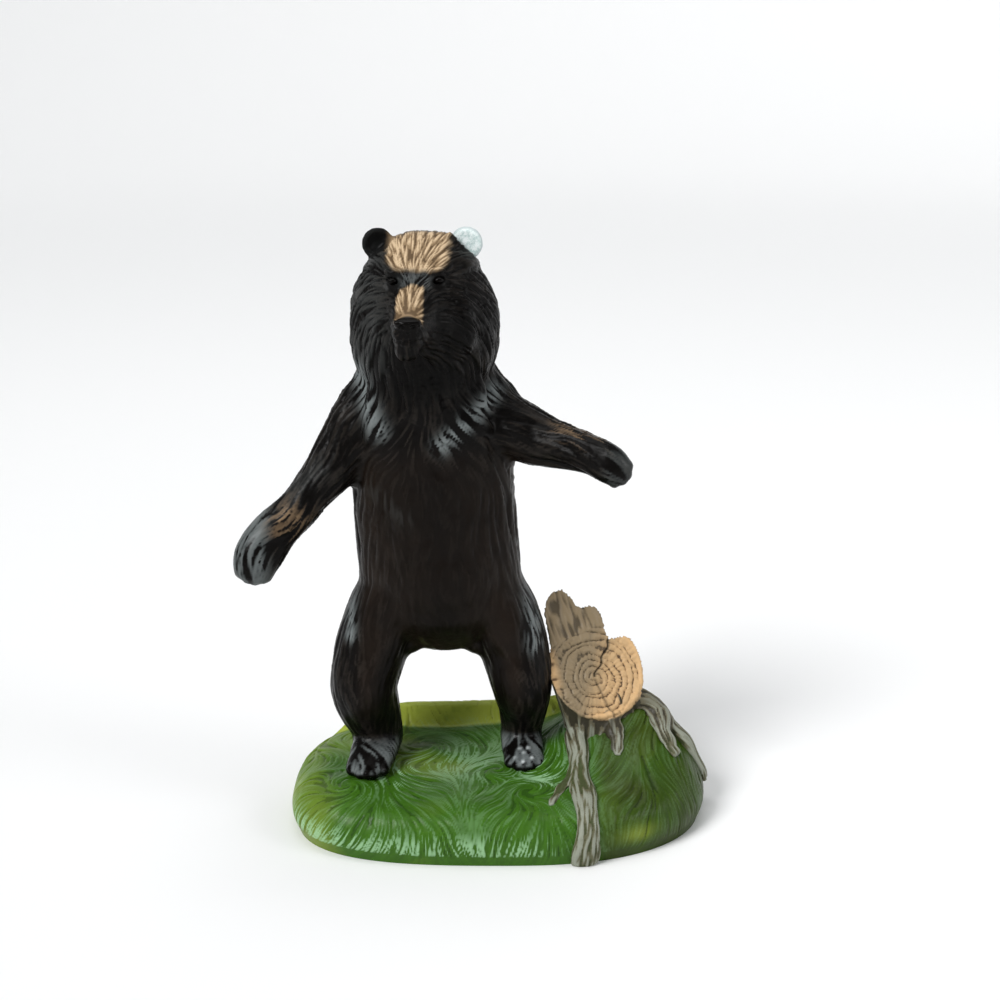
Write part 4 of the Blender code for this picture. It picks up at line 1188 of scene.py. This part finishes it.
def grass_masks(mound, points, on_top):
    """Where the lawn is mint on its crests, olive, or darkened to brown-green as painted shade."""
    x, y, z = points.T
    rim = fade(z, mound.grass * 0.35, mound.grass * 0.75) * ease(-y, 0.010, 0.030)
    mint = 0.07 - 0.12 * ease(x, 0.038, 0.050) + 0.66 * rim * fade(x, 0.010, 0.030)
    mint += 0.8 * glow((x, -0.0440, 0.009), (y, -0.016, 0.013))
    mint += 0.7 * glow((x, 0.0190, 0.010), (y, -0.022, 0.014))
    mint += 0.35 * glow((x, -0.0130, 0.030), (y, -0.004, 0.020))
    # Partly painted light: the back strip is the lawn's own olive, laid full strength to stand in for light
    # where the bear's shadow falls.
    strip = 1.3 * ease(y, 0.0325, 0.0355) * (0.25 + 0.75 * on_top)
    olive = np.maximum(strip, 0.30 * fade(x, -0.082, -0.060))
    olive = np.maximum(olive, 0.75 * glow((x, 0.058, 0.010), (z, 0.010, 0.005)))
    olive = np.maximum(olive, 0.20 * ease(swell(points, 26.0, 9.0), 0.05, 0.45))
    # Painted shade: right of the stump, low on the right end, in the crease at the back and beside the
    # trunk.
    shade = 0.92 * ease(x, 0.036, 0.046) + 0.2 * ease(x, 0.045, 0.080) * fade(z, 0.004, 0.018)
    shade *= (0.9 + 0.35 * swell(points, 55.0, 6.0)) * (1.0 - 0.8 * np.clip(olive, 0.0, 1.0))
    shade = np.maximum(shade, 0.45 * glow((y, 0.0315, 0.0022)) * fade(x, 0.0, 0.02))
    shade = np.maximum(shade, 0.85 * glow((x, 0.058, 0.012), (y, -0.010, 0.022)))
    olive += 0.25 * swell(points, 38.0, 2.0) * (olive > 0.02)
    masks = {"mint": mint, "olive": olive, "shade": shade}
    return {name: np.clip(values, 0.0, 1.0) for name, values in masks.items()}


class FIGURINE_OT_mound(bpy.types.Operator):
    """Model the grassy mound and press its blades"""
    bl_idname = "figurine.mound"
    bl_label = "Grassy mound"

    def execute(self, context):
        plan = Plan()
        mound = plan.mound
        random = np.random.default_rng(GRASS_DRAWS)
        piece = mound_form(plan)
        piece.name = piece.data.name = "grassy_mound"
        fuse(piece, GRASS_VOXEL, rounds=4)
        keep_side(piece, (0, 0, 0), (0, 0, 1), fill=True)
        points = places_of(piece)
        _, y, z = points.T
        seeds = seeds_on(piece, z > 0.002, mound.blade_width * mound.blade_length, 3.4, random)
        stamps = comb(piece, seeds, grass_flow(plan), mound.blade_width, mound.blade_length, random, 0.35)
        relief, tone = press(points, stamps)
        on_top = ease(z, mound.grass * 0.75, mound.grass * 0.95)
        band = ease(z, mound.grass * 0.10, mound.grass * 0.24)
        band *= 1.0 - 0.6 * ease(y, 0.035, 0.041) * on_top
        heights = (relief - STROKE_LEVEL) * mound.blade_height * band
        heights[z < 0.0004] = 0.0
        move_out(piece, heights)
        masks = grass_masks(mound, points, on_top)
        masks["mint"] *= band
        paint(piece, relief=relief * band + 0.5 * (1.0 - band), tone=tone, **masks)
        finish_piece(piece, grass_glaze(mound))
        return {"FINISHED"}


def cut_reach(plan, turn):
    """How far the cut face reaches from its middle, with a tall and a short torn splinter at its top."""
    stump = plan.stump
    reach = 1.0 / math.hypot(math.cos(turn) / (stump.cut_width / 2), math.sin(turn) / (stump.cut_length / 2))
    degrees = math.degrees(turn) % 360.0
    from_tall = degrees - TALL_AT
    tall = math.exp(-abs(from_tall / (27.0 if from_tall > 0.0 else 10.5)) ** 2.4)
    short = math.exp(-((degrees - SHORT_AT) / 12.0) ** 4)
    notch = math.exp(-((degrees - NOTCH_AT) / 13.0) ** 2)
    return reach + stump.splinter_tall * tall + stump.splinter_short * short - stump.notch * notch


def add_stump(mesh, plan):
    """The trunk, from a round foot sunk in the mound up to its slanting cut."""
    stump = plan.stump
    sides = 160
    levels = 24
    foot_x = stump.place_x + stump.foot_shift
    foot_z = plan.mound.grass * 0.4
    rings = []
    for level in range(levels + 1):
        share = level / levels
        flare = 1.0 + 0.30 * (1.0 - share) ** 4
        ring = []
        for turn in turns(sides):
            across, along = math.cos(turn), math.sin(turn)
            top = plan.cut_middle + (plan.cut_across * across + plan.cut_up * along) * cut_reach(plan, turn)
            bottom = Vector((foot_x + stump.foot_width / 2 * flare * across,
                             stump.place_y + stump.foot_depth / 2 * flare * along, foot_z))
            point = bottom.lerp(top, share ** 1.5)
            rise = foot_z + (top.z - foot_z) * share
            ridge = 0.0008 * math.sin(turn * 11.0 + 1.7 * math.sin(turn * 3.0))
            ridge *= min(1.0, 4.0 * (1.0 - share))
            ring.append(Vector((point.x + ridge * across, point.y + ridge * along, rise)))
        rings.append(ring)
    add_rings(mesh, rings)


def root_routes(plan):
    """Each root: its start, its end, how high up the mound it ends, its sideways bend and its widths."""
    stump, mound = plan.stump, plan.mound
    x, y = stump.place_x, stump.place_y
    side = x + 0.0165
    front_end = (x - 0.0072, -0.99 * mound.front)
    right_end = (0.95 * mound.right, y - 0.004)
    wide, twig = stump.side_root, stump.twig_root
    return (
        ((x - 0.0085, y - 0.006), front_end, -0.2, 0.0006, stump.root_width * 0.75, stump.root_width),
        ((x - 0.0095, y - 0.024), (x - 0.0210, y - 0.052), 0.9, 0.0, twig, twig * 0.45),
        ((x + 0.008, y - 0.003), (x + 0.0088, y - 0.021), 1.2, 0.0, twig * 1.9, twig * 0.4),
        ((side - 0.006, y + 0.004), right_end, 0.5, 0.0010, wide * 1.6, wide),
        ((side + 0.007, y + 0.001), (side + 0.0140, y - 0.015), 1.0, 0.0, wide * 1.4, wide * 0.7),
        ((x + 0.006, y + 0.012), (x + 0.014, 0.92 * mound.back), 0.8, 0.0015, wide, wide * 0.6),
    )


def add_roots(mesh, plan, ground):
    """Roots that hug the mound from the trunk outward; returns the points along their middles."""
    steps = 22
    sides = 20
    grass = plan.mound.grass
    lines = []
    for number, (start, end, end_height, bend, first_width, last_width) in enumerate(root_routes(plan)):
        first, last = Vector((*start, grass * 1.5)), Vector((*end, grass * end_height))
        sideways = (last - first).cross(Vector((0, 0, 1))).normalized()
        spots = []
        for step in range(steps + 1):
            share = step / steps
            wander = bend * math.sin(share * math.tau + number)
            wander += 0.04 * first_width * math.sin(share * 9.0 + 2.0 * number) * (abs(bend) > 0)
            over, down = math.sin(share * math.pi / 2), 1.0 - math.cos(share * math.pi / 2)
            guess = first.lerp(last, over) + sideways * wander
            guess.z = first.z + (last.z - first.z) * down
            spots.append(ground.find_nearest(guess)[:2])
        rings = []
        for step, (spot, normal) in enumerate(spots):
            share = step / steps
            along = (spots[min(step + 1, steps)][0] - spots[max(step - 1, 0)][0]).normalized()
            beside = along.cross(normal).normalized()
            wide = (first_width + (last_width - first_width) * share) / 2
            wide *= 1.0 + 0.14 * math.sin(share * 17.0 + 1.3 * number)
            high = wide * (0.5 + 0.5 * (1.0 - share) ** 3)
            middle = spot + normal * high * 0.25
            rings.append([middle + beside * wide * math.cos(turn) + normal * high * math.sin(turn)
                          for turn in turns(sides)])
            lines.append((spot, along))
        add_rings(mesh, rings)
    return lines


def wood_flow(lines):
    """A function that gives the way the grain runs: down the trunk, and along each root."""
    places = np.array([spot for spot, _ in lines])
    ways = np.array([along for _, along in lines])
    down = Vector((0, 0, -1))

    def way_of(point, _):
        away = np.sum((places - np.array(point)) ** 2, axis=1)
        nearest = int(np.argmin(away))
        if away[nearest] < 0.0065 ** 2:
            way = Vector(ways[nearest])
        else:
            way = down + Vector((0.12, 0.0, 0.0))
        return way + Vector((noise.noise(point * 150.0), noise.noise(point * 150.0 + down), 0.0)) * 0.28

    return way_of


def cut_numbers(plan, points, normals):
    """Rings, cracks and torn grain on the cut: a height in metres and the masks that the glaze reads.

    On the cut, a runs across it and b up its slope, both from its middle.
    """
    stump = plan.stump
    offset, out = points - np.array(plan.cut_middle), np.array(plan.cut_out)
    a, b = offset @ np.array(plan.cut_across), offset @ np.array(plan.cut_up)
    facing = ease(normals @ out, 0.55, 0.9) * fade(np.abs(offset @ out), 0.0022, 0.0035)
    facing *= fade(np.hypot(a, np.minimum(b, 0.0)), stump.cut_width * 0.50, stump.cut_width * 0.53)

    def lumps(seed, first, second, third=0 * a, scale=1.0):
        return swell(np.stack([first, second, third], axis=1), scale, seed)

    pith_a, pith_b = a - PITH[0], b - PITH[1]
    away, turn = np.hypot(pith_a, pith_b), np.arctan2(pith_b, pith_a)
    wobble = lumps(0.0, a, b, scale=120.0) + 0.5 * lumps(0.0, a, b, scale=380.0)
    ring = (away + 0.0011 * wobble) / stump.ring_spacing + 0.55 * lumps(2.0, away * 330.0, turn * 0.8)
    ring += turn / math.tau
    clear = 0.60 + 0.40 * ease(lumps(5.0, turn * 2.2, np.round(ring) * 1.7), -0.45, 0.05)
    line = (0.5 + 0.5 * np.cos(math.tau * ring)) ** 3.0
    rings = 1.0 - 2.0 * line * clear * ease(away, 0.0003, 0.0012)
    ticks = lumps(3.0, turn * 15.0, np.floor(ring) * 3.7, away * 90.0) * ease(away, 0.0030, 0.0070)
    torn = ease(b - 0.25 * a + 0.0008 * wobble, stump.cut_length * 0.33, stump.cut_length * 0.43)
    strip = fade(a - 0.0008 * wobble, -stump.cut_width * 0.46, -stump.cut_width * 0.36)
    strip *= ease(b, -0.012, -0.002)
    grain = 1.9 * lumps(7.0, (a + 0.10 * b) * 620.0, b * 95.0)
    for knot_a, knot_b, reach in KNOTS:
        grain -= 1.6 * glow((np.hypot(a - knot_a, (b - knot_b) * 0.6), 0.0, reach))
    ladder = 1.6 * lumps(1.0, a * 160.0, b * 560.0)
    crack_up = glow((pith_a - pith_b * 0.71, 0.0007 * np.sin(b * 900.0), 0.00055))
    crack_up *= ease(pith_b, 0.0, 0.001) * fade(pith_b, 0.0185, 0.0205)
    crack_low = glow((pith_a + pith_b * 0.25, 0.0, 0.00050)) * ease(-pith_b, 0.0, 0.001)
    crack = np.clip(crack_up + 0.65 * crack_low, 0.0, 1.0) * facing * (1.0 - torn)
    across = np.hypot(a / (stump.cut_width / 2), b / (stump.cut_length / 2))
    rim = glow((across, 0.93, 0.055)) * ease(a - 0.4 * b, -0.002, 0.006) * (1.0 - torn)
    pattern = (0.85 * rings + 1.5 * ticks) * (1.0 - strip) + ladder * strip
    pattern = pattern * (1.0 - torn) + grain * torn
    pattern = np.clip(pattern * (1.0 - 0.6 * rim) + 0.5 * rim, -1.1, 1.1)
    height = stump.ring_depth * facing * (pattern + 0.8 * rim - 2.4 * crack)
    grey = fade(a - 0.50 * b + 0.0014 * wobble, -0.006, 0.010)
    aged = np.clip(torn + (0.25 + 0.75 * grey) * (1.0 - strip) * (1.0 - rim), 0.0, 1.0)
    return height, facing, aged, crack, 0.5 + 0.42 * pattern


class FIGURINE_OT_stump(bpy.types.Operator):
    """Model the cut stump with its torn splinters and the roots that run down the mound"""
    bl_idname = "figurine.stump"
    bl_label = "Stump and roots"

    def execute(self, context):
        plan = Plan()
        stump = plan.stump
        random = np.random.default_rng(WOOD_DRAWS)
        ground_form = mound_form(plan)
        ground = BVHTree.FromObject(ground_form, context.evaluated_depsgraph_get())
        mesh = bmesh.new()
        lines = add_roots(mesh, plan, ground)
        add_stump(mesh, plan)
        piece = object_from(mesh, "stump_and_roots")
        fuse(piece, WOOD_VOXEL, rounds=5)
        keep_side(piece, (0, 0, 0.0002), (0, 0, 1), fill=True)
        bpy.data.objects.remove(ground_form, do_unlink=True)
        points = places_of(piece)
        x, y, z = points.T
        height, cut, aged, crack, pattern = cut_numbers(plan, points, places_of(piece, "normal"))
        seeds = seeds_on(piece, (cut < 0.5) & (z > 0.001), GRAIN_WIDTH * GRAIN_LENGTH, 2.0, random)
        stamps = comb(piece, seeds, wood_flow(lines), GRAIN_WIDTH, GRAIN_LENGTH, random)
        relief, tone = press(points, stamps)
        bark = 1.0 - cut
        height += (relief - STROKE_LEVEL) * GRAIN_HEIGHT * bark
        height[z < 0.0006] = 0.0
        move_out(piece, height)
        slot = glow((x, stump.place_x + 0.0062, 0.0011)) * ease(stump.place_y - y, 0.009, 0.012)
        slot *= ease(z, 0.030, 0.034) * bark
        paint(piece, relief=pattern * cut + relief * bark, tone=np.maximum(tone, cut * 0.5), cut=cut,
              aged=aged, pale=0.30 + 0.65 * fade(z, 0.036, 0.048),
              moss=0.7 * fade(z, 0.026, 0.040) * (1.0 - relief),
              crack=np.clip(crack + 0.9 * slot, 0.0, 1.0))
        finish_piece(piece, wood_glaze(stump))
        return {"FINISHED"}


def add_floor(colour):
    """A round pale floor whose edge bends up into a wall."""
    bpy.ops.object.select_all(action="DESELECT")
    bpy.ops.mesh.primitive_circle_add(vertices=96, radius=0.4, fill_type="NGON")
    floor = bpy.context.active_object
    floor.name = floor.data.name = "floor"
    bpy.ops.object.mode_set(mode="EDIT")
    bpy.ops.mesh.select_all(action="SELECT")
    bpy.ops.mesh.extrude_region_move()
    bpy.ops.transform.resize(value=(6.0, 6.0, 6.0))
    for step in range(1, 10):
        bend = math.radians(10.0 * step)
        rise = (0.0, 0.0, 0.28 * math.sin(bend))
        bpy.ops.mesh.extrude_region_move(TRANSFORM_OT_translate={"value": rise})
        grow = 1.0 + 0.10 * math.cos(bend)
        bpy.ops.transform.resize(value=(grow, grow, 1.0))
    bpy.ops.mesh.delete(type="ONLY_FACE")
    bpy.ops.object.mode_set(mode="OBJECT")
    floor.data.shade_smooth()
    material = bpy.data.materials.new("Pale floor")
    material.use_nodes = True
    tree = ShaderTree(material.node_tree)
    tree.feed(tree.shader, Base_Color=colour, Roughness=0.9, Specular_IOR_Level=0.1)
    floor.data.materials.append(material)
    return floor


def place_facing(name, data, place, target):
    """A lamp or camera at a place, turned to look at a target."""
    thing = bpy.data.objects.new(name, data)
    thing.location = place
    way = Vector(target) - Vector(place)
    thing.rotation_euler = way.to_track_quat("-Z", "Y").to_euler()
    bpy.context.scene.collection.objects.link(thing)
    return thing


class FIGURINE_OT_stage(bpy.types.Operator):
    """Set up the floor, the soft lights and the camera"""
    bl_idname = "figurine.stage"
    bl_label = "Stage"

    def execute(self, context):
        scene = context.scene
        stage = scene.figurine_stage
        add_floor(stage.floor)
        world = bpy.data.worlds.new("Soft room")
        world.use_nodes = True
        room = ShaderTree(world.node_tree)
        room.feed(world.node_tree.nodes["Background"], Color=(0.93, 0.97, 1.0), Strength=0.25)
        scene.world = world
        scene.view_settings.view_transform = "Standard"
        # Each lamp's name, kind, place, width in metres or as an angle, and power
        lights = (
            ("key", "SUN", (-0.85, -0.75, 1.15), math.radians(26.0), 2.5),
            ("right", "AREA", (1.0, -0.35, 0.75), 0.40, 3.0),
            ("top", "AREA", (0.0, 0.25, 1.6), 1.0, 7.0),
        )
        for name, kind, place, width, power in lights:
            lamp = bpy.data.lights.new(name, kind)
            lamp.energy = power
            if kind == "SUN":
                lamp.angle = width
            else:
                lamp.shape = "SQUARE"
                lamp.size = width
            place_facing(name, lamp, place, (0.0, 0.0, 0.12))
        lens = bpy.data.cameras.new("camera")
        lens.lens = stage.lens
        lens.sensor_width = 36.0
        scene.camera = place_facing("camera", lens, (0.0, -stage.distance, stage.camera_height),
                                    (0.0, 0.0, stage.aim_height))
        return {"FINISHED"}


SETTINGS = {
    "figurine_bear": BearSettings, "figurine_mound": MoundSettings, "figurine_stump": StumpSettings,
    "figurine_stage": StageSettings,
}
OPERATORS = (
    FIGURINE_OT_mound, FIGURINE_OT_stump, FIGURINE_OT_bear, FIGURINE_OT_eyes, FIGURINE_OT_bare_ear,
    FIGURINE_OT_stage,
)


class FIGURINE_PT_panel(bpy.types.Panel):
    """The figurine's pieces and their sizes and colours"""
    bl_idname = "FIGURINE_PT_panel"
    bl_label = "Ceramic bear figurine"
    bl_space_type = "VIEW_3D"
    bl_region_type = "UI"
    bl_category = "Figurine"

    def draw(self, context):
        for operator in OPERATORS:
            self.layout.operator(operator.bl_idname)
        for name in SETTINGS:
            box = self.layout.box()
            settings = getattr(context.scene, name)
            box.label(text=settings.__doc__)
            for prop in settings.bl_rna.properties:
                if prop.identifier not in ("rna_type", "name"):
                    box.prop(settings, prop.identifier)


CLASSES = (*SETTINGS.values(), *OPERATORS, FIGURINE_PT_panel)


def register():
    for item in CLASSES:
        bpy.utils.register_class(item)
    for name, settings in SETTINGS.items():
        setattr(bpy.types.Scene, name, PointerProperty(type=settings))


def unregister():
    for name in SETTINGS:
        delattr(bpy.types.Scene, name)
    for item in reversed(CLASSES):
        bpy.utils.unregister_class(item)


def main():
    register()
    for operator in OPERATORS:
        group, name = operator.bl_idname.split(".")
        if getattr(getattr(bpy.ops, group), name)() != {"FINISHED"}:
            raise RuntimeError(operator.bl_label + " was not finished")


if __name__ == "__main__":
    main()
